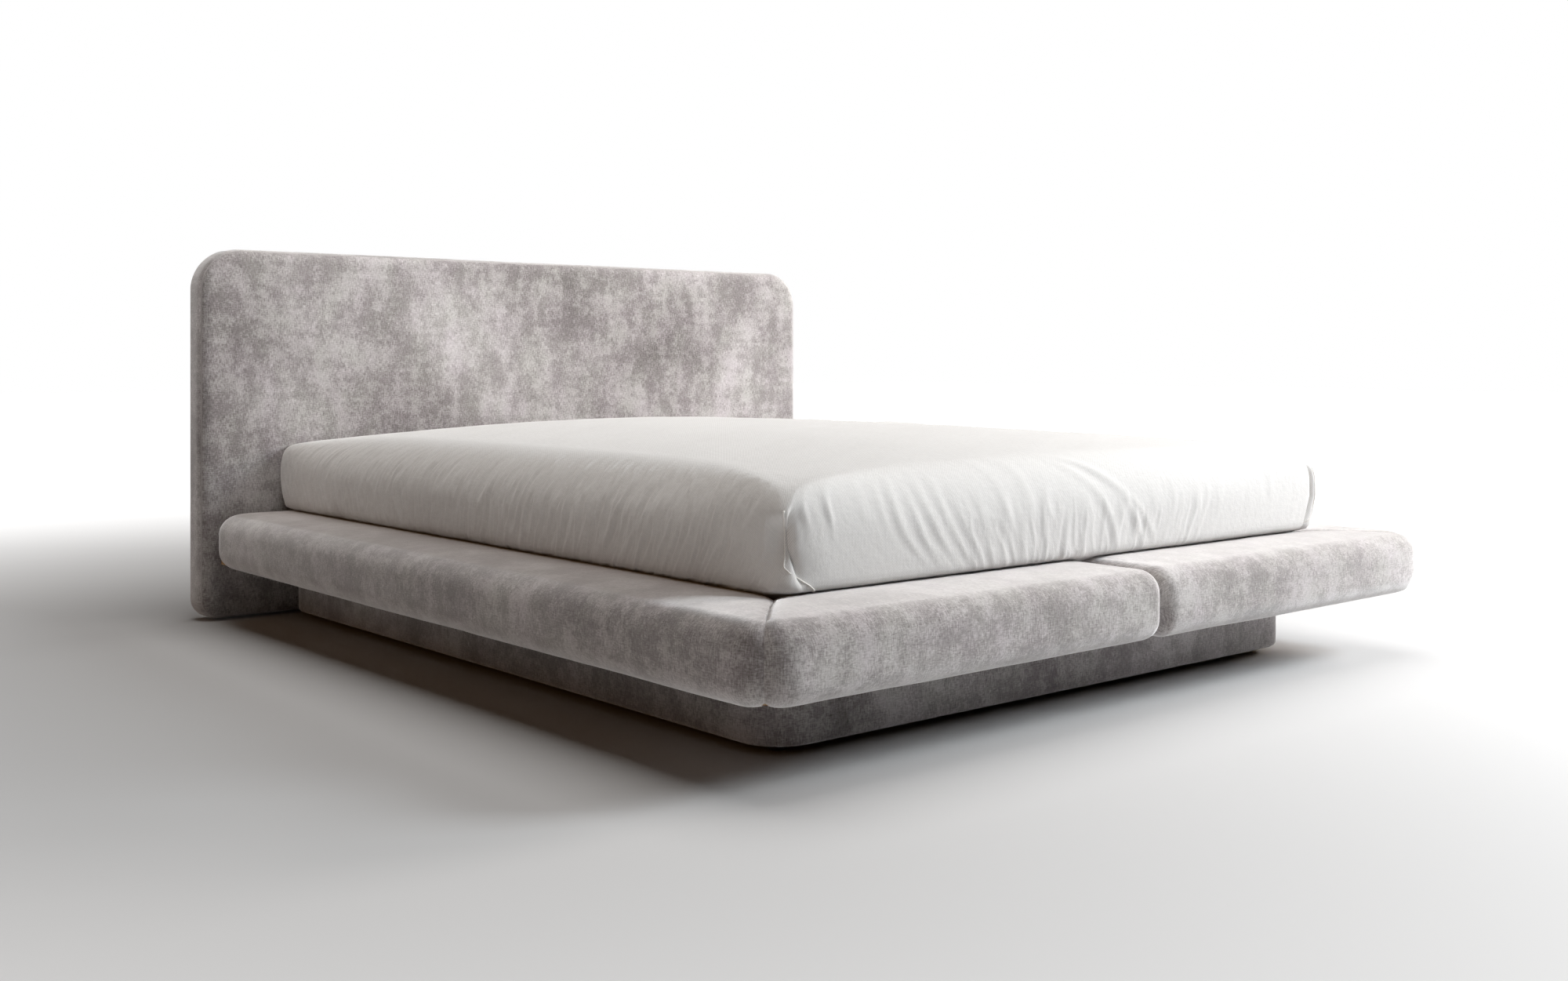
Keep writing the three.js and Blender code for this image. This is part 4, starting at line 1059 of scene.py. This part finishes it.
def fold_between(top_place, top_drop, bottom_place, bottom_drop, height, width, hook=0):
    """A fold between two places on a side, in millimetres. hook bends its top sideways."""
    bend = hook * (math.exp(-top_drop / 60) - math.exp(-bottom_drop / 60))
    lean = (top_place - bottom_place - bend) / (bottom_drop - top_drop)
    bottom = bottom_place - lean * (SIDE_DROP * 1000 - bottom_drop)
    return {"bottom": mm(bottom), "lean": lean, "hook": mm(hook), "width": mm(width),
            "height": mm(height), "start": mm(top_drop), "end": mm(bottom_drop)}


def fold_heights(folds, place, drop):
    """How far the single folds lift the cloth at each place and drop of one side."""
    total = np.zeros(len(place))
    table = np.linspace(-mm(60), mm(320), 20)
    for i, f in enumerate(folds):
        strength = [0.8 + 0.9 * noise.noise(Vector((3.3 * i, d / mm(55), 0.5))) for d in table]
        wander = [FOLD_WANDER * noise.noise(Vector((3.3 * i, d / mm(70), 7.5))) for d in table]
        hook = f["hook"] * hooked(drop)
        centre = f["bottom"] + f["lean"] * (SIDE_DROP - drop) + hook + np.interp(drop, table, wander)
        progress = np.clip((drop - f["start"]) / (f["end"] - f["start"]), 0, 1)
        spread = 1 + FOLD_SPREAD * (1 - progress) ** 2
        across = (place - centre) / (f["width"] * spread)
        rise, fall = [(f[end] - FOLD_FADE, f[end] + FOLD_FADE) for end in ("start", "end")]
        fade = smooth(drop, *rise) / spread * (1 - smooth(drop, *fall))
        crest = np.exp(-np.minimum(across**2, 30))
        hollow = np.exp(-np.minimum((across + 1.9) ** 2 / 1.4, 30))
        shape = crest - FOLD_HOLLOW * hollow
        total += f["height"] * fade * np.interp(drop, table, strength) * shape
    return total


def ridged(across, down, pitch, length, seed):
    """Narrow ridges about a pitch apart that run down a side, break off and cross."""
    places = np.column_stack([across / pitch, down / length, np.full(len(across), seed)])
    waves = np.array([noise.noise(Vector(p)) for p in places])
    return np.exp(-((waves / 0.2) ** 2)) - 0.35 + 0.9 * waves


# Each is the place and drop of its top, the place and drop of its end, its height, its width and,
# for some, the hook of its top.
FOOT_FOLDS = (
    (26, 92, 62, 190, 4.2, 5), (66, 86, 112, 200, 4.6, 5.5), (122, 80, 184, 190, 1.5, 9),
    (152, 60, 244, 215, 2.0, 9, -20), (176, 50, 306, 262, 3.4, 9, -30), (212, 52, 350, 262, 3.2, 8, -30),
    (258, 60, 390, 258, 3.4, 9, -25), (316, 78, 434, 258, 2.8, 8, -20), (378, 100, 470, 258, 2.6, 8, -10),
    (470, 140, 502, 264, 2.4, 8), (534, 150, 536, 264, 2.2, 8), (602, 118, 586, 262, 3.0, 8),
    (672, 98, 648, 258, 3.2, 8), (742, 108, 704, 262, 2.8, 8), (792, 130, 762, 262, 2.2, 8),
    (912, 138, 844, 262, 2.8, 7), (1004, 138, 952, 262, 2.2, 7), (1082, 128, 1024, 264, 2.8, 7),
    (1162, 138, 1112, 262, 2.0, 8), (1252, 120, 1200, 255, 1.5, 9), (1372, 80, 1332, 220, 0.9, 10),
    (1450, 70, 1420, 210, 0.9, 10), (655, 10, 965, 235, 4.4, 10, -260), (705, 25, 1000, 225, 3.6, 9, -240),
    (600, 5, 880, 240, 3.4, 10, -240), (500, 15, 640, 200, 2.6, 11, -160),
    (400, 10, 560, 190, 2.4, 11, -170),
)


def foot_lift(place, drop):
    """Folds that fan out from the left corner, hang from the top, and gather towards the bottom."""
    lean = np.interp(place, [0.15, 0.45, 0.65, 1.1, 1.5], [-0.75, -0.45, 0.0, 0.3, 0.2])
    across = place - lean * (SIDE_DROP - drop)
    middle = 0.1 + 0.9 * smooth(place, 0.28, 0.5) * (1 - smooth(place, 1.05, 1.3))
    low = smooth(drop, mm(110), mm(190)) * (1 - 0.5 * smooth(drop, mm(262), mm(290)))
    small = ridged(across, drop, mm(22), mm(65), 2.5) * mm(1.2) * middle * low
    fine = ridged(across + 0.5 * lean * drop, drop, mm(11), mm(40), 8.5) * mm(0.4)
    fine = fine * (0.25 + 0.75 * low) * (0.3 + 0.7 * middle)
    return FOLD_DEPTH * fold_heights([fold_between(*f) for f in FOOT_FOLDS], place, drop) + small + fine


def long_side_lift(place, drop, length, foot_at_start):
    """Ripples whose tops lean towards the foot, and near it turn level on the shoulder."""
    from_foot = place if foot_at_start else length - place
    near_foot = np.exp(-from_foot / 0.7)
    near_head = np.exp(-(length - from_foot) / 0.5)
    lean = 0.06 + 0.3 * near_foot - 0.3 * near_head
    hook = (mm(22) + mm(45) * near_foot) * hooked(drop)
    across = from_foot + lean * (SIDE_DROP - drop) + hook
    down = smooth(drop, mm(20), mm(150)) * (1 - 0.4 * smooth(drop, mm(255), mm(290)))
    calm = 1 - 0.45 * np.exp(-from_foot / 0.16) - 0.35 * near_head
    broad = ridged(across, drop, mm(30), mm(130), 4.5) * mm(2.8)
    small = ridged(across * 1.02, drop, mm(15), mm(75), 11.5) * mm(2.6)
    fine = ridged(across, drop, mm(9), mm(40), 19.5) * mm(1.3)
    return (broad + small + fine) * down * calm


def head_lift(place, drop):
    return ridged(place, drop, mm(30), mm(120), 27.5) * mm(0.8) * smooth(drop, mm(10), mm(60))


# Each is its middle, its turn, its length in metres and its height in millimetres.
TOP_PUCKERS = (
    (0.33, -0.07, 0.25, 0.085, 4.0), (0.41, -0.02, -0.1, 0.07, 3.0), (0.25, -0.02, 0.5, 0.06, 2.4),
    (-0.12, 0.42, 0.75, 0.16, 1.6), (-0.05, 0.25, 0.7, 0.13, 1.3),
)
PUCKER_WIDTH = mm(15)


def distances_in(x, y):
    """How far a place is from each side of the mattress: foot, right, head, left."""
    return [y - MATTRESS_FOOT, MATTRESS_HALF - x, MATTRESS_HEAD - y, MATTRESS_HALF + x]


def top_swell(x, y):
    """Slow waves of the sheet over the top, and a small pucker near the middle."""
    along = np.array([0.9, 0.44])
    flat = np.column_stack([x, y])
    u, v = flat @ along, flat @ np.array([-along[1], along[0]])
    edge = np.min(distances_in(x, y), 0)
    waves = swell(np.column_stack([u, v * 2.6, 0 * x]), 0.34, 4.7)
    wrinkles = swell(np.column_stack([u, v * 3.4, 0 * x]), 0.13, 9.1)
    lift = mm(2.6) * waves * smooth(edge, mm(120), mm(300)) + mm(0.9) * wrinkles
    for cx, cy, turn, length, height in TOP_PUCKERS:
        p = (x - cx) * math.cos(turn) + (y - cy) * math.sin(turn)
        q = -(x - cx) * math.sin(turn) + (y - cy) * math.cos(turn)
        lift += mm(height) * np.exp(-((p / length) ** 2)) * np.exp(-((q / PUCKER_WIDTH) ** 2))
    return lift


def bell(distance, middle, width):
    return np.exp(-(((distance - middle) / width) ** 2))


# Forms at the foot corners. Their heights are the ends of a ramp up into each and of one out of it.
GATHER_DEPTH = mm(17)
GATHER_REACH = mm(92)
GATHER_START = (mm(4), mm(16))
GATHER_HEIGHTS = ((mm(282), mm(325)), (mm(405), mm(438)))
GROOVE_DEPTH = mm(13)
GROOVE_HEIGHTS = ((mm(268), mm(290)), (mm(422), mm(438)))
DENT_DEPTH = mm(37)
DENT_ON_SIDE = mm(33)
DENT_ON_FOOT = mm(19)
DENT_HEIGHTS = ((mm(286), mm(380)), (mm(388), mm(426)))
CORNER_INWARDS = np.array([0.7, 0.7, 0.0])
SEAM_CALM = (mm(14), mm(42))


def corner_cloth(from_seam, z, near_left):
    """Cloth gathered beside a foot corner's seam. from_seam is positive on the foot side."""
    if near_left:
        gather = np.clip(1 - from_seam / GATHER_REACH, 0, 1) ** 2
        return -GATHER_DEPTH * band(z, *GATHER_HEIGHTS) * gather * smooth(from_seam, *GATHER_START)
    shape = mm(4) * bell(from_seam, 0, mm(5)) - GROOVE_DEPTH * bell(from_seam, mm(12), mm(4.5))
    return shape * band(z, *GROOVE_HEIGHTS)


def corner_dent(from_seam, z):
    """How far the near corner is pushed in along its diagonal, under the tip where the seam starts."""
    width = np.where(from_seam < 0, DENT_ON_SIDE, DENT_ON_FOOT)
    return DENT_DEPTH * bell(from_seam, 0, width) * band(z, *DENT_HEIGHTS)


def sheet_base_rings():
    """The sheet's rings before folding: the turned-under hem, the side and the shoulder."""
    low_insets = lower_insets(MATTRESS_BOTTOM)
    under = []
    for share in (1.0, 0.6, 0.25, 0.06):
        insets = [inset + SHEET_TURN_UNDER * share for inset in low_insets]
        ring = pillow_ring(insets, SHEET_HEM_CORNER, SHEET_COLUMNS)
        under.append(np.column_stack([ring, np.full(len(ring), MATTRESS_BOTTOM)]))
    return under + pillow_rings(0, SHEET_CORNER, SHEET_COLUMNS, SHEET_ROWS_LOW, SHEET_ROWS_HIGH)


def side_of(index_count):
    """For each column of the sheet, its side: 0 foot, 1 right, 2 head, 3 left."""
    half = (CORNER_STEPS + 1) // 2
    sides = []
    for i, columns in enumerate(SHEET_COLUMNS):
        before = (i - 1) % 4
        sides += [before] * half + [i] * (CORNER_STEPS + 1 - half) + [i] * (columns - 1)
    assert len(sides) == index_count
    return np.array(sides)


def side_places(x, y):
    """Place along each side, seen from outside: foot, right, head, left."""
    return [x + MATTRESS_HALF, y - MATTRESS_FOOT, MATTRESS_HALF - x, MATTRESS_HEAD - y]


def fold_lift(side, place, drop):
    length = MATTRESS_HEAD - MATTRESS_FOOT
    if side == 0:
        return foot_lift(place, drop)
    if side == 2:
        return head_lift(place, drop)
    return long_side_lift(place, drop, length, side == 1)


def sheet_lift(rings, top):
    """How far the finished cloth stands off the base form, for the rings' points and the top's."""
    count = len(rings[0])
    sides = side_of(count)
    widest = rings[-1 - SHEET_ROWS_HIGH]
    places = side_places(widest[:, 0], widest[:, 1])
    step = [np.linalg.norm(a - b, axis=1) for a, b in zip(rings[1:], rings)]
    drops = [np.zeros(count)]
    for length in reversed(step):
        drops.insert(0, drops[0] + length)
    round_the_rim = np.linalg.norm(np.roll(widest, -1, 0) - widest, axis=1)
    run = np.concatenate([[0], np.cumsum(round_the_rim)[:-1]])
    whole = round_the_rim.sum()
    half_arc = CORNER_STEPS // 2
    right_corner = CORNER_STEPS + SHEET_COLUMNS[0] + half_arc
    from_left_seam = (run - run[half_arc] + whole / 2) % whole - whole / 2
    from_right_seam = run[right_corner] - run
    lifts = []
    for ring, drop in zip(rings, drops):
        lift = np.zeros(count)
        for side in range(4):
            mine = sides == side
            lift[mine] = fold_lift(side, places[side][mine], drop[mine])
        for seam, near_left in ((from_left_seam, True), (from_right_seam, False)):
            near = np.abs(seam) < mm(150)
            lift[near] *= smooth(np.abs(seam[near]), *SEAM_CALM)
            lift[near] += corner_cloth(seam[near], ring[near, 2], near_left)
        lifts.append(lift)
    x, y = top[:, 0], top[:, 1]
    top_lift = np.zeros(len(top))
    for side, (place, inwards) in enumerate(zip(side_places(x, y), distances_in(x, y))):
        drop = SHOULDERS[side] - inwards
        near = drop > -mm(110)
        top_lift[near] += fold_lift(side, place[near], drop[near])
    return lifts, top_lift, from_left_seam, from_right_seam


def weave_map(mesh):
    """Lays the weave flat on the top and lets it run down each side. The drape map gives the long
    sides' ripples their place along the side and how far the cloth has fallen."""
    places = points_of(mesh)
    drop = np.maximum(top_height(places[:, 0], places[:, 1]) - places[:, 2], 0)
    layer, drape = mesh.uv_layers.new(name="weave"), mesh.uv_layers.new(name="drape")
    for face in mesh.polygons:
        x, y, _ = face.center
        near = distances_in(x, y)
        side = near.index(min(near))
        for loop in face.loop_indices:
            i = mesh.loops[loop].vertex_index
            px, py, fall = places[i][0], places[i][1], drop[i]
            layer.data[loop].uv = [(px, py - fall), (px + fall, py), (px, py + fall), (px - fall, py)][side]
            lean = 0.08 + 0.3 * math.exp((MATTRESS_FOOT - py) / 0.7)
            drape.data[loop].uv = (py - lean * fall, fall) if side % 2 else (px, 0)


def tube(name, path, radius, sides, closed, material, body):
    """A round cord along a list of points."""
    path = [Vector(p) for p in path]
    count = len(path)
    points, normal = [], None
    for i, p in enumerate(path):
        before = path[i - 1] if i or closed else p
        after = path[(i + 1) % count] if i + 1 < count or closed else p
        way = (after - before).normalized()
        if normal is None:
            normal = way.orthogonal().normalized()
        normal = (normal - way * normal.dot(way)).normalized()
        other = way.cross(normal)
        for k in range(sides):
            angle = 2 * math.pi * k / sides
            points.append(p + (normal * math.cos(angle) + other * math.sin(angle)) * radius)
    faces = ring_faces(count, sides)
    if closed:
        last = (count - 1) * sides
        faces += [[last + k, last + (k + 1) % sides, (k + 1) % sides, k] for k in range(sides)]
    else:
        faces += [list(range(sides)), list(range(len(points) - sides, len(points)))]
    mesh = new_mesh(name, points, faces)
    turn_outwards(mesh, 0)
    return make_piece(name, mesh, material, body)


# Small round parts that repeat: screws, staples and the loops of an overlocked seam. Each place
# carries the way its part points, and one tree puts a closed round part on each of them.

def round_parts_tree():
    tree = bpy.data.node_groups.new("round_parts", "GeometryNodeTree")
    sockets = {}
    for label, kind in (("Places", "Geometry"), ("Radius", "Float"), ("Length", "Float"), ("Sides", "Int"),
                        ("Tilt", "Float"), ("Seed", "Int"), ("Finish", "Material")):
        socket = tree.interface.new_socket(label, in_out="INPUT", socket_type="NodeSocket" + kind)
        sockets[label] = socket.identifier
    tree.interface.new_socket("Parts", in_out="OUTPUT", socket_type="NodeSocketGeometry")
    given = add(tree, "NodeGroupInput").outputs
    part = add(tree, "GeometryNodeMeshCylinder", {"fill_type": "NGON"},
               {"Vertices": given["Sides"], "Radius": given["Radius"], "Depth": given["Length"]})
    turn = add(tree, "GeometryNodeInputNamedAttribute", {"data_type": "FLOAT_VECTOR"}, {"Name": "turn"})
    least = add(tree, "ShaderNodeMath", {"operation": "MULTIPLY"}, {0: given["Tilt"], 1: -1.0})
    tilt = add(tree, "FunctionNodeRandomValue", {"data_type": "FLOAT_VECTOR"},
               {"Min": least.outputs[0], "Max": given["Tilt"], "Seed": given["Seed"]})
    tilted = add(tree, "ShaderNodeVectorMath", {"operation": "ADD"},
                 {0: turn.outputs["Attribute"], 1: tilt.outputs["Value"]})
    placed = add(tree, "GeometryNodeInstanceOnPoints", {},
                 {"Points": given["Places"], "Instance": part.outputs["Mesh"],
                  "Rotation": tilted.outputs[0]})
    real = add(tree, "GeometryNodeRealizeInstances", {}, {"Geometry": placed.outputs["Instances"]})
    finished = add(tree, "GeometryNodeSetMaterial", {},
                   {"Geometry": real.outputs["Geometry"], "Material": given["Finish"]})
    result = add(tree, "NodeGroupOutput")
    tree.links.new(finished.outputs["Geometry"], result.inputs["Parts"])
    return tree, sockets


ROUND_PARTS, ROUND_SOCKETS = round_parts_tree()


def round_parts(name, places, ways, radius, length, sides, material, body, tilt=0.0):
    """One round part at each place, its axis along the way given for it, as one plain mesh."""
    cloud = bpy.data.meshes.new(name + "_places")
    cloud.from_pydata([tuple(p) for p in places], [], [])
    turns = [angle for way in ways for angle in Vector(way).to_track_quat("Z", "Y").to_euler()]
    cloud.attributes.new("turn", "FLOAT_VECTOR", "POINT").data.foreach_set("vector", turns)
    holder = bpy.data.objects.new(name + "_places", cloud)
    bpy.context.scene.collection.objects.link(holder)
    modifier = holder.modifiers.new("round_parts", "NODES")
    modifier.node_group = ROUND_PARTS
    for label, value in (("Radius", radius), ("Length", length), ("Sides", sides),
                         ("Tilt", tilt), ("Seed", 7), ("Finish", material)):
        modifier[ROUND_SOCKETS[label]] = value
    mesh = bpy.data.meshes.new_from_object(holder.evaluated_get(bpy.context.evaluated_depsgraph_get()))
    holder.modifiers.remove(modifier)
    bpy.data.objects.remove(holder)
    bpy.data.meshes.remove(cloud)
    mesh.name = name
    turn_outwards(mesh, 0)
    piece = make_piece(name, mesh, material, body)
    mesh.polygons.foreach_set("use_smooth", [False] * len(mesh.polygons))
    return piece


SEAM_DRIFT = mm(38)
SEAM_DRIFT_HEIGHTS = (mm(285), mm(330))
SEAM_WANDER = mm(2.4)
SEAM_BOTTOM = mm(268)
SEAM_TOP = mm(428)
WELT_RADIUS = mm(1.3)
STITCH_STEP = mm(3.4)
ELASTIC_RADIUS = mm(2.5)


def corner_welt(name, rings, from_seam, drift):
    """The overlocked seam down a foot corner, from its tip to where the sheet turns under."""
    order = np.argsort(from_seam)
    path = []
    for ring in rings:
        z = ring[:, 2].mean()
        if z < SEAM_BOTTOM or ring[np.argmin(np.abs(from_seam)), 2] > SEAM_TOP:
            continue
        wander = SEAM_WANDER * noise.noise(Vector((z / mm(22), 0.5, 3.5)))
        target = drift * (1 - smooth(z, *SEAM_DRIFT_HEIGHTS)) + wander
        path.append([np.interp(target, from_seam[order], ring[order, axis]) for axis in range(3)])
    outward = np.array([-1 if "left" in name else 1, -1.4, 0]) * mm(0.5)
    path = np.array(path) + outward
    run = np.concatenate([[0], np.cumsum(np.linalg.norm(np.diff(path, axis=0), axis=1))])
    steps = np.arange(STITCH_STEP, run[-1], STITCH_STEP)
    places = np.column_stack([np.interp(steps, run, path[:, axis]) for axis in range(3)])
    ways = np.gradient(places, axis=0)
    loops = round_parts(name + "_stitches", places, ways, WELT_RADIUS + mm(0.45), mm(1.2), 8, thread,
                        MATTRESS_BODY, 0.3)
    return [tube(name, path, WELT_RADIUS, 8, False, thread, MATTRESS_BODY), loops]


def fitted_sheet():
    rings = sheet_base_rings()
    count = len(rings[0])
    points, faces = topped(rings, SHEET_TOP_STEP, lambda x, y: top_height(x, y) + top_swell(x, y))
    ring_points = len(rings) * count
    base = new_mesh("fitted_sheet_base", points, faces)
    turn_outwards(base, 0)
    normals = normals_of(base)
    bpy.data.meshes.remove(base)
    lifts, top_lift, from_left_seam, from_right_seam = sheet_lift(rings, points[ring_points:])
    folded = points + normals * np.concatenate(lifts + [top_lift])[:, None]
    dents = np.array([corner_dent(from_left_seam, ring[:, 2]) for ring in rings])
    folded[:ring_points] += dents.ravel()[:, None] * CORNER_INWARDS
    lining, nearby = [], range(-COARSER, COARSER + 1)
    for k in list(range(0, len(rings), COARSER)) + [len(rings) - 1]:
        lowest = np.min([np.roll(lifts[k], shift) for shift in nearby] + [0 * lifts[k]], 0)
        inwards = normals[k * count:(k + 1) * count] * (SHEET_LINING - lowest)[:, None]
        deepest = dents[max(k - COARSER, 0):k + COARSER + 1].max(0)
        deepest = np.max([np.roll(deepest, shift) for shift in nearby], 0)
        lining.append((rings[k] - inwards + deepest[:, None] * CORNER_INWARDS)[::COARSER])
    lining_points, lining_faces = topped(lining, SHEET_LINING_STEP,
                                         lambda x, y: top_height(x, y) - SHEET_LINING)
    start = len(folded)
    faces += [[start + i for i in face] for face in lining_faces]
    few = count // COARSER
    for i in range(few):
        near, far = start + i, start + (i + 1) % few
        hem = [(COARSER * i + j) % count for j in range(COARSER + 1)]
        faces += [[hem[0], hem[1], near], [hem[1], hem[2], near], [hem[2], far, near]]
        faces += [[hem[2], hem[3], far], [hem[3], hem[4], far]]
    mesh = new_mesh("fitted_sheet", np.concatenate([folded, lining_points]), faces)
    turn_outwards(mesh, 0)
    weave_map(mesh)
    piece = make_piece("fitted_sheet", mesh, sheet_cotton, MATTRESS_BODY)
    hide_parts("fitted_sheet")
    folded_rings = [folded[k * count:(k + 1) * count] for k in range(len(rings))]
    welts = corner_welt("sheet_seam_left", folded_rings, from_left_seam, SEAM_DRIFT)
    welts += corner_welt("sheet_seam_right", folded_rings, from_right_seam, SEAM_DRIFT / 3)
    hem_path = folded_rings[0][::5] - np.array([0, 0, mm(1)])
    elastic = tube("sheet_elastic", hem_path, ELASTIC_RADIUS, 6, True, sheet_cotton, MATTRESS_BODY)
    return piece


mattress_core()
fitted_sheet()


# Fixings that repeat

def slat_screws():
    """Two countersunk screws through each end of each slat."""
    from_end, off_middle, sunk = mm(18), mm(21), mm(0.25)
    places = []
    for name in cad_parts:
        if name.startswith("slat_"):
            low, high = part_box(name)
            middle = (low[1] + high[1]) / 2
            for x in (low[0] + from_end, high[0] - from_end):
                for y in (middle - off_middle, middle + off_middle):
                    places.append((x, y, high[2] - sunk))
    round_parts("slat_screws", places, [(0, 0, 1)] * len(places), mm(4), mm(0.8), 16, zinc,
                FRAME_BODY)


def back_staples():
    """Wire staples round the dark cloth on the back panel."""
    low, high = panel_low, panel_high
    inset, keep_off, step, proud = mm(9), mm(90), mm(42), mm(0.1)
    places, ways = [], []
    for x in np.arange(low[0] + keep_off, high[0] - keep_off, step):
        for z in (low[2] + inset, high[2] - inset):
            places.append((x, high[1] + proud, z))
            ways.append((1, 0, 0))
    for z in np.arange(low[2] + keep_off, high[2] - keep_off, step):
        for x in (low[0] + inset, high[0] - inset):
            places.append((x, high[1] + proud, z))
            ways.append((0, 0, 1))
    round_parts("back_staples", places, ways, mm(0.6), mm(10), 8, zinc, FRAME_BODY)


slat_screws()
back_staples()


# Finishes of the frame's own pieces

for name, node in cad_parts.items():
    if name.startswith("slat_"):
        finish = beech_lacquered
    elif "bolt" in name:
        finish = zinc
    elif "glide" in name:
        finish = glide_plastic
    elif name == "headboard_back_panel":
        finish = back_cloth
    elif "core" in name or name == "headboard_board":
        finish = plywood
    elif name.startswith("centre_leg") or "corner_block" in name:
        finish = pine_upright
    elif name in ("foot_bearer", "head_bearer", "plinth_board_foot", "plinth_board_head"):
        finish = pine_across
    else:
        finish = pine_along
    for material_slot in node.material_slots:
        material_slot.material = finish


# Stage: pale floor, soft studio light and the camera

PHOTO_WIDTH = 2000
FOCAL_PIXELS = 2001
HORIZON_ABOVE_MIDDLE = 167.4
CAMERA_PLACE = (-2.457, -2.946, 0.674)
CAMERA_WAY = (0.6464, 0.7630)
FLOOR_HALF = 30.0
GLOW_START = 1.3
GLOW_FULL = 5.0


def stage_floor():
    """A pale floor that glows white from some way off the bed, as a lit studio sweep does."""
    half = FLOOR_HALF
    corners = [(-half, -half, 0), (half, -half, 0), (half, half, 0), (-half, half, 0)]
    mesh = new_mesh("floor", corners, [[0, 1, 2, 3]])
    material, tree, shader = new_material("floor_painted", {"Roughness": 0.9})
    shader.inputs["Base Color"].default_value = linear("#c4c4c4")
    shader.inputs["Emission Color"].default_value = linear("#ffffff")
    place = object_place(tree)
    away = add(tree, "ShaderNodeVectorMath", {"operation": "LENGTH"}, {0: place}).outputs["Value"]
    glow = ranged(tree, away, (GLOW_START, GLOW_FULL), (0.0, 1.05), "SMOOTHSTEP")
    tree.links.new(glow, shader.inputs["Emission Strength"])
    mesh.materials.append(material)
    floor = bpy.data.objects.new("floor", mesh)
    bpy.context.scene.collection.objects.link(floor)


def area_light(name, place, target, width, height, power, colour):
    data = bpy.data.lights.new(name, "AREA")
    data.shape = "RECTANGLE"
    data.size, data.size_y = width, height
    data.energy = power
    data.color = linear(colour)[:3]
    light = bpy.data.objects.new(name, data)
    light.location = place
    light.rotation_euler = (Vector(target) - Vector(place)).to_track_quat("-Z", "Y").to_euler()
    light.visible_camera = False
    bpy.context.scene.collection.objects.link(light)
    return light


def distant_light(name, towards, degrees, strength, colour):
    data = bpy.data.lights.new(name, "SUN")
    data.energy = strength
    data.angle = math.radians(degrees)
    data.color = linear(colour)[:3]
    light = bpy.data.objects.new(name, data)
    light.rotation_euler = Vector(towards).to_track_quat("Z", "Y").to_euler()
    bpy.context.scene.collection.objects.link(light)
    return light


def studio():
    """A white backdrop that only the camera sees, and four soft lamps."""
    world = bpy.data.worlds.new("studio")
    world.use_nodes = True
    tree = world.node_tree
    back = tree.nodes["Background"]
    back.inputs["Color"].default_value = linear("#ffffff")
    seen = add(tree, "ShaderNodeLightPath").outputs["Is Camera Ray"]
    tree.links.new(seen, back.inputs["Strength"])
    bpy.context.scene.world = world
    area_light("overhead", (0.0, 0.0, 4.0), (0.0, 0.0, 0.0), 4.0, 4.0, 132, "#fffdfb")
    area_light("key_front", (2.4, -3.2, 2.4), (0.0, -0.6, 0.3), 1.2, 1.2, 146, "#f3faff")
    area_light("key_right", (3.4, -2.0, 1.7), (0.0, -0.4, 0.3), 1.2, 1.2, 112, "#fff8f3")
    distant_light("warm_left", (-1.0, 0.1, 0.6), 60, 0.14, "#ffbd74")


def camera():
    data = bpy.data.cameras.new("camera")
    data.sensor_width = 36
    data.lens = data.sensor_width * FOCAL_PIXELS / PHOTO_WIDTH
    data.shift_y = -HORIZON_ABOVE_MIDDLE / PHOTO_WIDTH
    data.clip_end = 100
    view = bpy.data.objects.new("camera", data)
    view.location = CAMERA_PLACE
    heading = math.atan2(*CAMERA_WAY)
    view.rotation_euler = (math.radians(90), 0, -heading)
    bpy.context.scene.collection.objects.link(view)
    bpy.context.scene.camera = view


stage_floor()
studio()
camera()
bpy.context.scene.view_settings.view_transform = "Standard"

bpy.context.view_layer.update()
